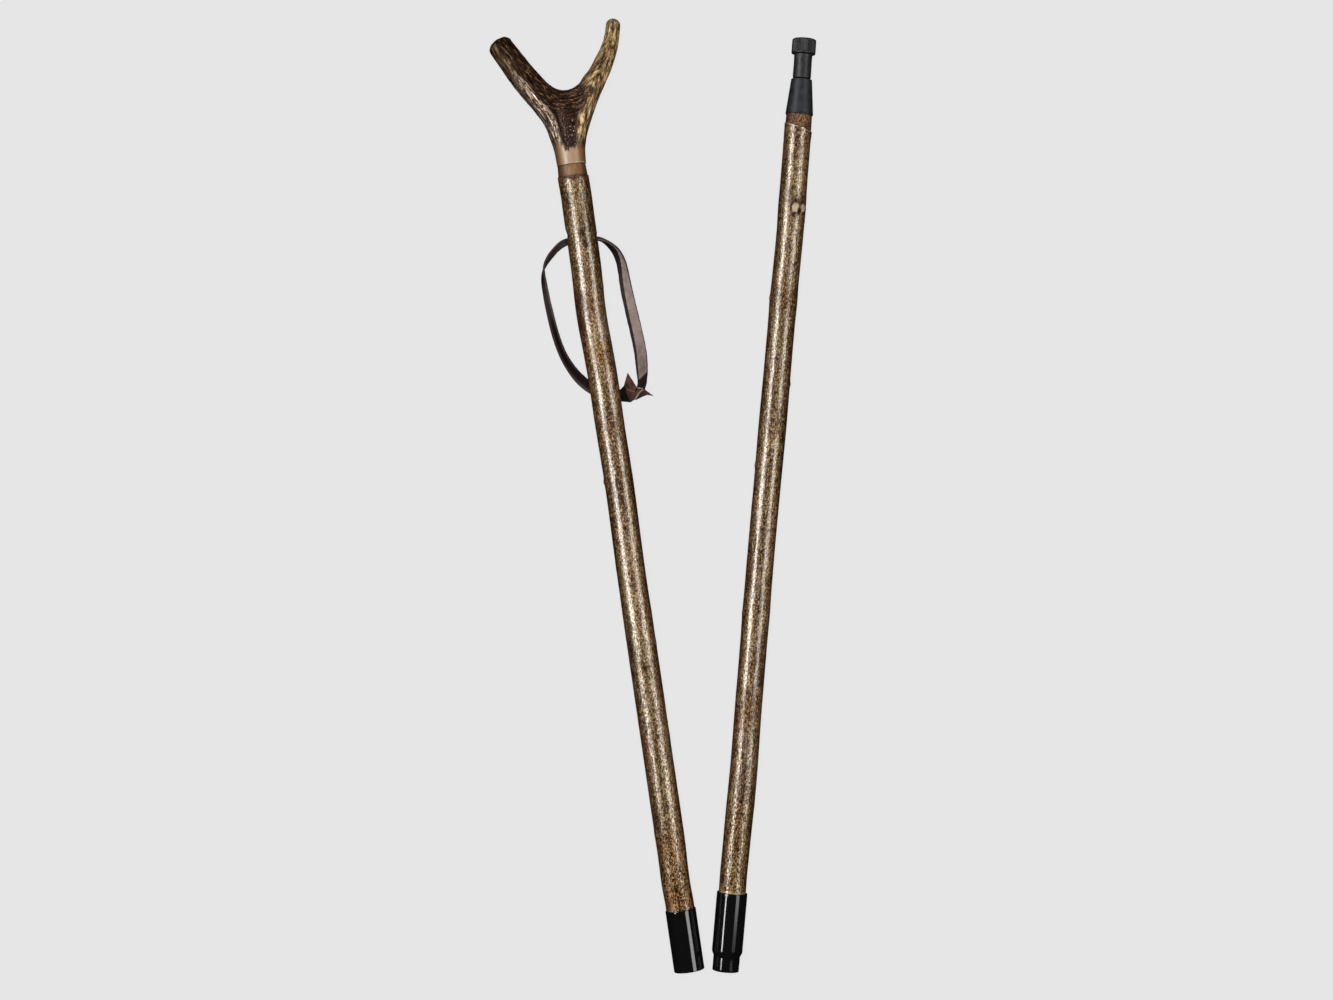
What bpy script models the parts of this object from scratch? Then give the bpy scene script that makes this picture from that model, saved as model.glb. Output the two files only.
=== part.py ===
"""Two-piece stalking stick with an antler fork, taken apart and laid on a flat surface.

Units are metres, +Z up. The two sections lie side by side: the upper one on its ferrule
and on the tips of its antler fork, the lower one on its joint sleeve and on its tip cone.
Each section has a frame of its own: x up, y across the stick (lateral) and z along it, away
from the joint. All the sizes below are in millimetres in those frames.
"""

import math

import bmesh
import bpy
from mathutils import Matrix, Vector

MM = 0.001
GAP = 0.3

# ---------------------------------------------------------------- driving dimensions, mm

# where the centre of each joint end lies on the surface, and which way its section points
UPPER_MOUTH_XY = (34.6, -450.8)
UPPER_LEAN = math.radians(8.33)
LOWER_SPIGOT_XY = (68.9, -451.2)
LOWER_LEAN = math.radians(-4.95)

# upper section, stations along its axis from the mouth of its ferrule
UPPER_FERRULE_LENGTH = 58.4
UPPER_FERRULE_RADIUS = 14.5
SOCKET_RADIUS = 12.8
SOCKET_DEPTH = 28.0
UPPER_SHANK_TOP = 760.8
COLLAR_TOP = 772.1
COLLAR_RADIUS_BOTTOM = 14.0
COLLAR_RADIUS_TOP = 13.3
UPPER_RISE = 3.85 / 760.0  # the fork end lies this much higher per millimetre
STRAP_HOLE_STATION = 700.5
STRAP_HOLE_RADIUS = 4.2

JOINT_STUD_RADIUS = 4.85
JOINT_STUD_FROM = 5.0
JOINT_STUD_TO = 62.0
FORK_STUD_RADIUS = 4.0
FORK_STUD_FROM = 722.0
FORK_STUD_TO = 802.0

# lower section, stations along its axis from the end of its spigot
SPIGOT_RADIUS = 12.6
SPIGOT_LENGTH = 14.0
SLEEVE_START = 18.0
SLEEVE_END = 74.4
SLEEVE_RADIUS = 14.5
SLEEVE_BORE_RADIUS = 12.9
SPIGOT_BORE_RADIUS = 11.1
INSERT_LENGTH = 21.5
INSERT_BORE_RADIUS = 5.0
CONE_START = 815.9
CONE_END = 849.5
CONE_RADIUS_START = 13.2
CONE_RADIUS_END = 9.9
CONE_WALL = 1.5
TIP_ACROSS = -0.3  # the tip ferrule sits a little off the shank's axis, and a little askew
TIP_SKEW = math.radians(1.0)
SPIKE_RADIUS = 4.1
SPIKE_FROM = 838.9
SPIKE_POINT = 881.9
NECK_START = 850.5
CAP_START = 873.4
CAP_END = 887.9
NECK_RADIUS = 8.65
CAP_RADIUS = 11.45
FOOT_BORE_RADIUS = 4.4
WASHER_RADIUS = 8.0
WASHER_THICKNESS = 1.5

# leather strap
STRAP_WIDTH = 12.0
STRAP_THICKNESS = 2.0

TURNED_STEPS = 32


# ---------------------------------------------------------------- scene and materials

for old in list(bpy.data.objects):
    bpy.data.objects.remove(old, do_unlink=True)

scene = bpy.context.scene
scene.unit_settings.system = "METRIC"
scene.unit_settings.scale_length = 1.0

parts = bpy.data.collections.new("stalking_stick")
cutters = bpy.data.collections.new("cutters")
frames = bpy.data.collections.new("frames")
for collection in (parts, cutters, frames):
    scene.collection.children.link(collection)


def finish(name, colour, roughness, metallic=0.0):
    material = bpy.data.materials.new(name)
    material.use_nodes = True
    shader = material.node_tree.nodes["Principled BSDF"]
    shader.inputs["Base Color"].default_value = (*colour, 1.0)
    shader.inputs["Roughness"].default_value = roughness
    shader.inputs["Metallic"].default_value = metallic
    material.diffuse_color = (*colour, 1.0)
    return material


ANTLER = finish("antler", (0.16, 0.085, 0.04), 0.45)
STAINED_WOOD = finish("stained_wood", (0.17, 0.085, 0.04), 0.4)
HAZEL = finish("varnished_hazel", (0.22, 0.15, 0.08), 0.25)
LEATHER = finish("brown_leather", (0.045, 0.028, 0.024), 0.55)
BLACK_STEEL = finish("gloss_black_steel", (0.01, 0.01, 0.01), 0.15)
CONE_METAL = finish("matte_dark_metal", (0.035, 0.038, 0.042), 0.6, 0.3)
STEEL = finish("bright_steel", (0.55, 0.55, 0.56), 0.3, 1.0)
BRASS = finish("brass", (0.7, 0.5, 0.22), 0.3, 1.0)
RUBBER = finish("black_rubber", (0.02, 0.02, 0.022), 0.7)


# ---------------------------------------------------------------- frames


def empty(name, matrix, parent=None):
    """An empty with the given world matrix."""
    holder = bpy.data.objects.new(name, None)
    holder.empty_display_size = 0.03
    frames.objects.link(holder)
    if parent is not None:
        holder.parent = parent
        holder.matrix_basis = parent_matrix[parent.name].inverted() @ matrix
    else:
        holder.matrix_basis = matrix
    parent_matrix[name] = matrix
    return holder


parent_matrix = {}


def section_matrix(xy, height, lean, rise):
    """Frame of a section: x up, y across, z along the stick."""
    along = Vector(
        (
            -math.sin(lean) * math.cos(rise),
            math.cos(lean) * math.cos(rise),
            math.sin(rise),
        )
    )
    across = Vector((math.cos(lean), math.sin(lean), 0.0))
    up = across.cross(along)
    matrix = Matrix((up, across, along)).transposed().to_4x4()
    matrix.translation = Vector((xy[0], xy[1], height)) * MM
    return matrix


upper_matrix = section_matrix(
    UPPER_MOUTH_XY, UPPER_FERRULE_RADIUS, UPPER_LEAN, UPPER_RISE
)
# the lower section rests on the far end of its sleeve and on the rim of its cone
LOWER_RISE = (CONE_RADIUS_START - SLEEVE_RADIUS) / (CONE_START - SLEEVE_END)
lower_matrix = section_matrix(
    LOWER_SPIGOT_XY,
    SLEEVE_RADIUS - LOWER_RISE * SLEEVE_END,
    LOWER_LEAN,
    LOWER_RISE,
)


def swing_pole():
    """The upright axis about which the lower section swings into line below the upper one.

    The spigot's end comes to stand 3 mm in front of the socket's mouth.
    """
    start = Vector(LOWER_SPIGOT_XY)
    out_of_mouth = Vector((math.sin(UPPER_LEAN), -math.cos(UPPER_LEAN)))
    end = Vector(UPPER_MOUTH_XY) + 3.0 * out_of_mouth
    turn = -(math.pi - (UPPER_LEAN - LOWER_LEAN))
    middle = (start + end) / 2
    step = end - start
    side = Vector((-step.y, step.x))
    return middle + side / (2 * math.tan(turn / 2)), turn


pole, swing_turn = swing_pole()
swing_axis = empty(
    "section_swing_axis", Matrix.Translation(Vector((pole.x, pole.y, 14.0)) * MM)
)
upper_section = empty("upper_section_frame", upper_matrix)
lower_section = empty("lower_section_frame", lower_matrix, swing_axis)
strap_axis = empty(
    "strap_swing_axis",
    upper_matrix @ Matrix.Translation((0, 0, STRAP_HOLE_STATION * MM)),
    upper_section,
)
tip_matrix = (
    lower_matrix
    @ Matrix.Translation((0, TIP_ACROSS * MM, CONE_START * MM))
    @ Matrix.Rotation(TIP_SKEW, 4, "X")
    @ Matrix.Translation((0, 0, -CONE_START * MM))
)
foot_axis = empty(
    "foot_pull_axis",
    tip_matrix @ Matrix.Translation((0, 0, NECK_START * MM)),
    lower_section,
)


def place(obj, collection, frame, parent):
    """Puts an object modelled in a section's frame under its parent empty."""
    collection.objects.link(obj)
    obj.parent = parent
    obj.matrix_basis = parent_matrix[parent.name].inverted() @ frame
    if collection is cutters:
        obj.hide_render = True
        obj.display_type = "WIRE"
    return obj


# ---------------------------------------------------------------- shape makers


def smooth(mesh, angle=35.0):
    mesh.shade_smooth()
    mesh.set_sharp_from_angle(angle=math.radians(angle))


def turned(name, profile, material, frame, parent, steps=TURNED_STEPS):
    """A turned piece: a closed (radius, station) outline swept about the section's axis.

    The outline runs round the wall once; stations are along the stick.
    """
    mesh = bpy.data.meshes.new(name)
    form = bmesh.new()
    corners = [form.verts.new((r * MM, 0.0, z * MM)) for r, z in profile]
    ends_on_axis = profile[0][0] == 0.0
    pairs = list(zip(corners, corners[1:]))
    if not ends_on_axis:
        pairs.append((corners[-1], corners[0]))
    for a, b in pairs:
        form.edges.new((a, b))
    form.to_mesh(mesh)
    form.free()
    mesh.materials.append(material)
    obj = bpy.data.objects.new(name, mesh)
    screw = obj.modifiers.new("turn", "SCREW")
    screw.axis = "Z"
    screw.steps = screw.render_steps = steps
    screw.use_merge_vertices = True
    screw.merge_threshold = 0.00001
    return place(obj, parts, frame, parent)


def station_curve(name, stations, sides_resolution):
    """A round rod along z: (station, radius, across, up) for each ring, as a closed mesh."""
    data = bpy.data.curves.new(name, "CURVE")
    data.dimensions = "3D"
    data.bevel_depth = MM
    data.bevel_resolution = sides_resolution
    data.use_fill_caps = True
    line = data.splines.new("POLY")
    line.points.add(len(stations) - 1)
    for point, (z, radius, across, up) in zip(line.points, stations):
        point.co = (up * MM, across * MM, z * MM, 1.0)
        point.radius = radius
    curve = bpy.data.objects.new(name + "_curve", data)
    cutters.objects.link(curve)
    bpy.context.view_layer.update()
    graph = bpy.context.evaluated_depsgraph_get()
    mesh = bpy.data.meshes.new_from_object(curve.evaluated_get(graph))
    bpy.data.objects.remove(curve, do_unlink=True)
    form = bmesh.new()
    form.from_mesh(mesh)
    bmesh.ops.remove_doubles(form, verts=form.verts, dist=1e-6)
    bmesh.ops.recalc_face_normals(form, faces=form.faces)
    form.to_mesh(mesh)
    form.free()
    mesh.name = name
    return mesh


def loft(name, rings):
    """A closed mesh through rings of equal point counts, capped at both ends."""
    form = bmesh.new()
    rows = [[form.verts.new(point * MM) for point in ring] for ring in rings]
    count = len(rows[0])
    for near, far in zip(rows, rows[1:]):
        for i in range(count):
            j = (i + 1) % count
            form.faces.new((near[i], near[j], far[j], far[i]))
    form.faces.new(list(reversed(rows[0])))
    form.faces.new(rows[-1])
    bmesh.ops.triangulate(form, faces=form.faces)
    bmesh.ops.recalc_face_normals(form, faces=form.faces)
    mesh = bpy.data.meshes.new(name)
    form.to_mesh(mesh)
    form.free()
    return mesh


def cylinder_cutter(name, radius, start, end, frame, parent, steps=24):
    """A round cutter along z from one station to another."""
    mesh = bpy.data.meshes.new(name)
    form = bmesh.new()
    bmesh.ops.create_cone(
        form,
        cap_ends=True,
        segments=steps,
        radius1=radius * MM,
        radius2=radius * MM,
        depth=(end - start) * MM,
        matrix=Matrix.Translation((0, 0, (start + end) / 2 * MM)),
    )
    form.to_mesh(mesh)
    form.free()
    return place(bpy.data.objects.new(name, mesh), cutters, frame, parent)


def boolean(obj, cutter, operation="DIFFERENCE"):
    modifier = obj.modifiers.new(operation.lower(), "BOOLEAN")
    modifier.operation = operation
    modifier.solver = "EXACT"
    modifier.object = cutter
    return modifier


def bump(z, centre, half):
    """A smooth swelling, 1 at its centre."""
    return math.exp(-(((z - centre) / half) ** 2))


def ramp(z, start, end):
    """Smoothly from 0 to 1 between two stations."""
    t = min(max((z - start) / (end - start), 0.0), 1.0)
    return t * t * (3 - 2 * t)


# ---------------------------------------------------------------- hazel shanks


def upper_form(z):
    """(radius, across, up) of the upper shank: it thickens towards the fork and wanders a little."""
    radius = 13.62 + 1.1 * max((z - 380.0) / 375.0, 0.0) ** 1.25
    radius += 0.38 * ramp(z, 95, 135) * (1 - ramp(z, 330, 380))
    across = (
        -1.7 * bump(z, 630, 34)
        + 1.05 * bump(z, 465, 52)
        + 0.4 * bump(z, 560, 26)
        + 0.7 * bump(z, 757, 24)
        - 0.75 * bump(z, 84, 24)
    )
    up = 0.4 * bump(z, 300, 90) + 0.3 * bump(z, 560, 60)
    return radius, across, up


def lower_form(z):
    """(radius, across, up) of the lower shank, with swellings at the buds and at the pruned shoot."""
    radius = (
        12.88
        + 0.42 * bump(z, 727, 15)
        + 0.35 * bump(z, 638, 14)
        + 0.42 * bump(z, 522, 42)
        + 0.28 * bump(z, 342, 16)
        + 0.42 * bump(z, 157, 46)
        - 0.45 * ramp(z, 792, 812)
    )
    across = (
        0.7 * bump(z, 705, 36)
        - 0.55 * bump(z, 400, 75)
        + 0.8 * bump(z, 190, 46)
        - 0.4 * bump(z, 84, 20)
    )
    up = 0.4 * bump(z, 250, 80) - 0.4 * bump(z, 590, 90)
    return radius, across, up


def shank_stations(form_of, start, end, count, end_across=0.0):
    """Rings of the barked part: wander and swell, faded out to a straight axis at both ends."""
    rings = []
    for i in range(count):
        z = start + (end - start) * i / (count - 1)
        radius, across, up = form_of(z)
        fade = ramp(z, start, start + 25) * (1 - ramp(z, end - 25, end))
        across = across * fade + end_across * ramp(z, end - 60, end)
        rings.append((z, radius, across, up * fade))
    return rings


upper_start = UPPER_FERRULE_LENGTH + GAP
tenon = SOCKET_RADIUS - GAP
upper_rings = [
    (SOCKET_DEPTH, tenon, 0.0, 0.0),
    (upper_start - 0.02, tenon, 0.0, 0.0),
    *shank_stations(upper_form, upper_start, UPPER_SHANK_TOP - GAP, 30),
]
upper_mesh = station_curve("upper_shank", upper_rings, 8)
upper_mesh.materials.clear()
upper_mesh.materials.append(HAZEL)
smooth(upper_mesh)
upper_shank = place(
    bpy.data.objects.new("upper_shank", upper_mesh), parts, upper_matrix, upper_section
)

strap_bore = cylinder_cutter(
    "strap_bore_cutter",
    STRAP_HOLE_RADIUS,
    -30.0,
    30.0,
    upper_matrix
    @ Matrix.Translation((0, 0, STRAP_HOLE_STATION * MM))
    @ Matrix.Rotation(math.radians(-90), 4, "X"),
    upper_section,
)
boolean(upper_shank, strap_bore)
boolean(
    upper_shank,
    cylinder_cutter(
        "joint_stud_bore_cutter",
        JOINT_STUD_RADIUS + GAP,
        SOCKET_DEPTH - 5.0,
        JOINT_STUD_TO + GAP,
        upper_matrix,
        upper_section,
    ),
)
boolean(
    upper_shank,
    cylinder_cutter(
        "fork_stud_shank_bore_cutter",
        FORK_STUD_RADIUS + GAP,
        FORK_STUD_FROM - GAP,
        UPPER_SHANK_TOP + 5.0,
        upper_matrix,
        upper_section,
    ),
)

# the lower shank's end is whittled to a cone inside the tip ferrule
lower_start = SLEEVE_END + GAP
sleeve_tenon = SLEEVE_BORE_RADIUS - GAP
cone_slope = (CONE_RADIUS_START - CONE_RADIUS_END) / (CONE_END - CONE_START)


def cone_radius(z):
    return CONE_RADIUS_START - cone_slope * (z - CONE_START)


WOOD_IN_CONE = 836.9
lower_rings = [
    (INSERT_LENGTH + 0.8, sleeve_tenon, 0.0, 0.0),
    (lower_start - 0.02, sleeve_tenon, 0.0, 0.0),
    *shank_stations(lower_form, lower_start, CONE_START - GAP, 32, TIP_ACROSS),
    (
        CONE_START - GAP + 0.02,
        cone_radius(CONE_START) - CONE_WALL - GAP,
        TIP_ACROSS,
        0.0,
    ),
    (
        WOOD_IN_CONE,
        cone_radius(WOOD_IN_CONE) - CONE_WALL - GAP,
        TIP_ACROSS - (WOOD_IN_CONE - CONE_START) * math.tan(TIP_SKEW),
        0.0,
    ),
]
lower_mesh = station_curve("lower_shank", lower_rings, 8)
lower_mesh.materials.clear()
lower_mesh.materials.append(HAZEL)
smooth(lower_mesh)
lower_shank = place(
    bpy.data.objects.new("lower_shank", lower_mesh), parts, lower_matrix, lower_section
)

# ---------------------------------------------------------------- joint

turned(
    "upper_ferrule",
    [
        (UPPER_FERRULE_RADIUS - 0.4, UPPER_FERRULE_LENGTH),
        (UPPER_FERRULE_RADIUS, UPPER_FERRULE_LENGTH - 0.4),
        (UPPER_FERRULE_RADIUS, 0.3),
        (UPPER_FERRULE_RADIUS - 0.3, 0.0),
        (SOCKET_RADIUS, 0.0),
        (SOCKET_RADIUS, UPPER_FERRULE_LENGTH),
    ],
    BLACK_STEEL,
    upper_matrix,
    upper_section,
)

turned(
    "joint_stud",
    [
        (0.0, JOINT_STUD_TO),
        (JOINT_STUD_RADIUS - 0.8, JOINT_STUD_TO),
        (JOINT_STUD_RADIUS, JOINT_STUD_TO - 0.8),
        (JOINT_STUD_RADIUS, JOINT_STUD_FROM + 1.2),
        (JOINT_STUD_RADIUS - 1.2, JOINT_STUD_FROM),
        (0.0, JOINT_STUD_FROM),
    ],
    STEEL,
    upper_matrix,
    upper_section,
    24,
)

turned(
    "lower_ferrule",
    [
        (SLEEVE_RADIUS - 0.4, SLEEVE_END),
        (SLEEVE_RADIUS, SLEEVE_END - 0.4),
        (SLEEVE_RADIUS, SLEEVE_START),
        (SLEEVE_RADIUS - 0.9, SLEEVE_START - 1.9),
        (SPIGOT_RADIUS, SPIGOT_LENGTH),
        (SPIGOT_RADIUS, 0.3),
        (SPIGOT_RADIUS - 0.3, 0.0),
        (SPIGOT_BORE_RADIUS, 0.0),
        (SPIGOT_BORE_RADIUS, SPIGOT_LENGTH + 0.8),
        (SLEEVE_BORE_RADIUS, SLEEVE_START + 1.0),
        (SLEEVE_BORE_RADIUS, SLEEVE_END),
    ],
    BLACK_STEEL,
    lower_matrix,
    lower_section,
)

turned(
    "threaded_insert",
    [
        (SPIGOT_BORE_RADIUS - GAP, INSERT_LENGTH),
        (SPIGOT_BORE_RADIUS - GAP, 0.6),
        (INSERT_BORE_RADIUS + 0.6, 0.6),
        (INSERT_BORE_RADIUS, 1.2),
        (INSERT_BORE_RADIUS, INSERT_LENGTH),
    ],
    BRASS,
    lower_matrix,
    lower_section,
    28,
)

# ---------------------------------------------------------------- tip

turned(
    "tip_ferrule",
    [
        (CONE_RADIUS_END - 0.5, CONE_END),
        (CONE_RADIUS_END, CONE_END - 0.5),
        (CONE_RADIUS_START, CONE_START + 0.3),
        (CONE_RADIUS_START - 0.3, CONE_START),
        (cone_radius(CONE_START) - CONE_WALL, CONE_START),
        (cone_radius(WOOD_IN_CONE + GAP) - CONE_WALL, WOOD_IN_CONE + GAP),
        (SPIKE_RADIUS + GAP, WOOD_IN_CONE + GAP),
        (SPIKE_RADIUS + GAP, CONE_END),
    ],
    CONE_METAL,
    tip_matrix,
    lower_section,
)

turned(
    "tip_spike",
    [
        (0.0, SPIKE_POINT),
        (0.6, SPIKE_POINT),
        (SPIKE_RADIUS, SPIKE_POINT - 8.0),
        (SPIKE_RADIUS, SPIKE_FROM),
        (0.0, SPIKE_FROM),
    ],
    STEEL,
    tip_matrix,
    lower_section,
    24,
)

washer_room = (SPIKE_POINT + GAP, SPIKE_POINT + GAP + WASHER_THICKNESS + 2 * GAP)
turned(
    "rubber_foot",
    [
        (0.0, CAP_END),
        (CAP_RADIUS - 1.0, CAP_END),
        (CAP_RADIUS, CAP_END - 1.0),
        (CAP_RADIUS, CAP_START + 0.8),
        (CAP_RADIUS - 0.8, CAP_START),
        (NECK_RADIUS, CAP_START),
        (NECK_RADIUS, NECK_START + 0.6),
        (NECK_RADIUS - 0.6, NECK_START),
        (FOOT_BORE_RADIUS, NECK_START),
        (FOOT_BORE_RADIUS, washer_room[0]),
        (WASHER_RADIUS + GAP, washer_room[0]),
        (WASHER_RADIUS + GAP, washer_room[1]),
        (0.0, washer_room[1]),
    ],
    RUBBER,
    tip_matrix,
    foot_axis,
)

turned(
    "foot_washer",
    [
        (0.0, washer_room[0] + GAP + WASHER_THICKNESS),
        (WASHER_RADIUS, washer_room[0] + GAP + WASHER_THICKNESS),
        (WASHER_RADIUS, washer_room[0] + GAP),
        (0.0, washer_room[0] + GAP),
    ],
    STEEL,
    tip_matrix,
    foot_axis,
    28,
)

# ---------------------------------------------------------------- collar and fork

turned(
    "collar",
    [
        (COLLAR_RADIUS_TOP, COLLAR_TOP - GAP),
        (COLLAR_RADIUS_BOTTOM, UPPER_SHANK_TOP),
        (FORK_STUD_RADIUS + GAP, UPPER_SHANK_TOP),
        (FORK_STUD_RADIUS + GAP, COLLAR_TOP - GAP),
    ],
    STAINED_WOOD,
    upper_matrix,
    upper_section,
)

turned(
    "fork_stud",
    [
        (0.0, FORK_STUD_TO),
        (FORK_STUD_RADIUS - 0.8, FORK_STUD_TO),
        (FORK_STUD_RADIUS, FORK_STUD_TO - 0.8),
        (FORK_STUD_RADIUS, FORK_STUD_FROM + 0.8),
        (FORK_STUD_RADIUS - 0.8, FORK_STUD_FROM),
        (0.0, FORK_STUD_FROM),
    ],
    STEEL,
    upper_matrix,
    upper_section,
    20,
)


def droop(z, depth, power=1.6):
    """How far an antler arm has sunk below the stick's axis at a station."""
    t = max((z - 790.0) / 105.0, 0.0)
    return -depth * t**power


def rounded_end(points, length, depth):
    """Adds rings of a rounded end after the last (z, radius, across) point."""
    z, radius, across = points[-1]
    before = points[-2]
    run = Vector((z - before[0], across - before[2])).normalized()
    done = list(points)
    for share in (0.35, 0.62, 0.82, 0.95):
        step = length * share
        done.append(
            (z + run.x * step, radius * math.sqrt(1 - share**2), across + run.y * step)
        )
    return [(z, r, across, droop(z, depth)) for z, r, across in done]


# the thick arm runs straight to a sawn and rounded end, (station, radius, across)
thick_arm = rounded_end(
    [
        (768.9, 13.6, 0.2),
        (785.9, 14.2, 0.2),
        (800.9, 13.4, -3.2),
        (818.9, 12.4, -9.0),
        (836.9, 12.9, -17.9),
        (846.0, 14.2, -22.8),
        (855.4, 13.6, -28.9),
        (866.9, 13.0, -35.8),
        (879.4, 12.4, -42.8),
        (891.9, 11.9, -49.2),
    ],
    10.8,
    7.75,
)
# the slender tine curves up to a blunt tip
tine = rounded_end(
    [
        (768.9, 13.6, 0.2),
        (786.9, 14.3, 1.0),
        (800.9, 13.5, 5.6),
        (815.9, 12.1, 13.4),
        (832.9, 11.6, 22.6),
        (844.4, 11.3, 29.8),
        (853.4, 10.0, 36.8),
        (860.9, 9.2, 42.3),
        (868.4, 8.6, 46.7),
        (875.9, 8.0, 50.6),
        (883.4, 7.5, 53.8),
        (889.9, 7.2, 55.9),
        (899.4, 7.0, 58.2),
    ],
    6.8,
    11.55,
)


def web_rings():
    """Flat oval sections that fill the crotch between the two arms."""
    rings = []
    for z, half_width, half_depth, centre in (
        (768.9, 13.6, 13.6, 0.2),
        (786.9, 14.9, 14.2, 0.6),
        (800.9, 17.6, 14.0, 1.8),
        (812.9, 21.0, 13.4, 2.4),
        (824.9, 25.0, 12.4, 2.4),
        (832.9, 26.2, 11.6, 1.6),
        (838.6, 24.0, 10.0, 0.8),
        (842.2, 19.5, 7.6, 0.2),
        (844.0, 13.5, 4.2, -0.4),
    ):
        drop = droop(z, 9.5)
        rings.append(
            [
                Vector(
                    (
                        drop + half_depth * math.sin(math.tau * i / 24),
                        centre + half_width * math.cos(math.tau * i / 24),
                        z,
                    )
                )
                for i in range(24)
            ]
        )
    return rings


fork_mesh = station_curve("antler_fork", thick_arm, 6)
fork_mesh.materials.clear()
fork_mesh.materials.append(ANTLER)
fork = place(
    bpy.data.objects.new("antler_fork", fork_mesh), parts, upper_matrix, upper_section
)
tine_form = place(
    bpy.data.objects.new("tine_form", station_curve("tine_form", tine, 6)),
    cutters,
    upper_matrix,
    upper_section,
)
web_form = place(
    bpy.data.objects.new("web_form", loft("web_form", web_rings())),
    cutters,
    upper_matrix,
    upper_section,
)
boolean(fork, tine_form, "UNION")
boolean(fork, web_form, "UNION")
remesh = fork.modifiers.new("skin", "REMESH")
remesh.mode = "VOXEL"
remesh.voxel_size = 1.6 * MM
soften = fork.modifiers.new("soften", "SMOOTH")
soften.factor = 0.5
soften.iterations = 6
thin = fork.modifiers.new("thin", "DECIMATE")
thin.ratio = 0.22

# a flat foot on the collar, and the bore of the hidden stud
trim_mesh = bpy.data.meshes.new("fork_foot_cutter")
trim = bmesh.new()
bmesh.ops.create_cube(
    trim,
    size=1.0,
    matrix=Matrix.Translation((0, 0, (COLLAR_TOP - 10.0) * MM))
    @ Matrix.Diagonal((60 * MM, 60 * MM, 20 * MM, 1.0)),
)
trim.to_mesh(trim_mesh)
trim.free()
boolean(
    fork,
    place(
        bpy.data.objects.new("fork_foot_cutter", trim_mesh),
        cutters,
        upper_matrix,
        upper_section,
    ),
)
boolean(
    fork,
    cylinder_cutter(
        "fork_stud_bore_cutter",
        FORK_STUD_RADIUS + GAP,
        COLLAR_TOP - 5.0,
        FORK_STUD_TO + GAP,
        upper_matrix,
        upper_section,
        20,
    ),
)

# ---------------------------------------------------------------- wrist strap

# The strap's route, from the knot up the right strand, through the cross hole and down the
# left strand to the knot again: (across, station, height above the surface, width,
# thickness, lean of the ribbon: 0 lies flat, 90 stands on edge, over 90 leans inwards)
ROUTE = (
    (33.5, 551.9, 4.4, 8.0, 2.4, 20),
    (36.6, 558.9, 4.4, 9.0, 2.2, 24),
    (38.2, 570.9, 3.7, 11.4, 2.0, 20),
    (39.0, 586.9, 3.0, 12.0, 2.0, 12),
    (38.3, 602.9, 3.0, 12.0, 2.0, 11),
    (37.0, 618.9, 3.6, 12.0, 2.0, 13),
    (35.7, 633.9, 5.2, 12.0, 2.0, 18),
    (34.6, 650.9, 8.0, 12.0, 2.0, 26),
    (34.2, 664.9, 10.8, 12.0, 2.0, 38),
    (33.3, 675.9, 13.0, 12.0, 2.0, 48),
    (30.2, 685.5, 15.2, 11.6, 2.0, 58),
    (25.2, 692.5, 16.8, 10.6, 2.1, 72),
    (19.6, 697.5, 17.6, 8.6, 2.4, 84),
    (15.0, 699.7, 17.8, 6.6, 2.8, 88),
    (8.0, 700.5, 17.9, 6.2, 3.2, 90),
    (0.0, 700.5, 17.9, 6.2, 3.2, 90),
    (-8.0, 700.5, 17.9, 6.2, 3.2, 88),
    (-14.8, 700.7, 17.8, 6.6, 2.9, 76),
    (-20.0, 698.9, 17.4, 8.4, 2.4, 64),
    (-26.6, 695.1, 16.0, 10.8, 2.1, 64),
    (-33.0, 689.5, 13.8, 12.0, 2.0, 74),
    (-38.2, 682.9, 11.6, 12.0, 2.0, 88),
    (-41.2, 676.1, 9.8, 12.0, 2.0, 99),
    (-42.4, 667.5, 8.3, 12.0, 2.0, 108),
    (-42.2, 652.9, 7.0, 12.0, 2.0, 114),
    (-41.4, 637.9, 6.4, 12.0, 2.0, 118),
    (-39.6, 621.9, 6.2, 12.0, 2.0, 120),
    (-37.0, 605.9, 6.1, 12.0, 2.0, 122),
    (-33.6, 593.5, 5.9, 12.0, 2.0, 126),
    (-28.8, 582.3, 5.5, 12.0, 2.0, 132),
    (-23.4, 573.1, 4.9, 11.8, 2.0, 142),
    (-16.6, 564.7, 3.6, 11.2, 2.0, 155),
    (-8.2, 557.5, 1.9, 10.4, 2.0, 173),
    (1.0, 552.5, 1.35, 9.6, 2.0, 179),
    (10.5, 549.9, 1.35, 9.0, 2.0, 180),
    (19.0, 549.3, 1.6, 8.6, 2.0, 180),
)


def spline_through(points, share):
    """A Catmull-Rom point; share runs from 0 to the number of spans."""
    last = len(points) - 1
    i = min(int(share), last - 1)
    t = share - i
    p0 = points[max(i - 1, 0)]
    p1, p2 = points[i], points[i + 1]
    p3 = points[min(i + 2, last)]
    return [
        0.5
        * (
            2 * b
            + (c - a) * t
            + (2 * a - 5 * b + 4 * c - d) * t * t
            + (3 * b - a - 3 * c + d) * t**3
        )
        for a, b, c, d in zip(p0, p1, p2, p3)
    ]


def on_surface(across, station, height):
    """A point of the upper section's frame, mm, whose world height is the given one."""
    lie = upper_matrix @ Vector((0.0, across * MM, station * MM))
    lie.z = height * MM
    return (upper_matrix.inverted() @ lie) / MM


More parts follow.
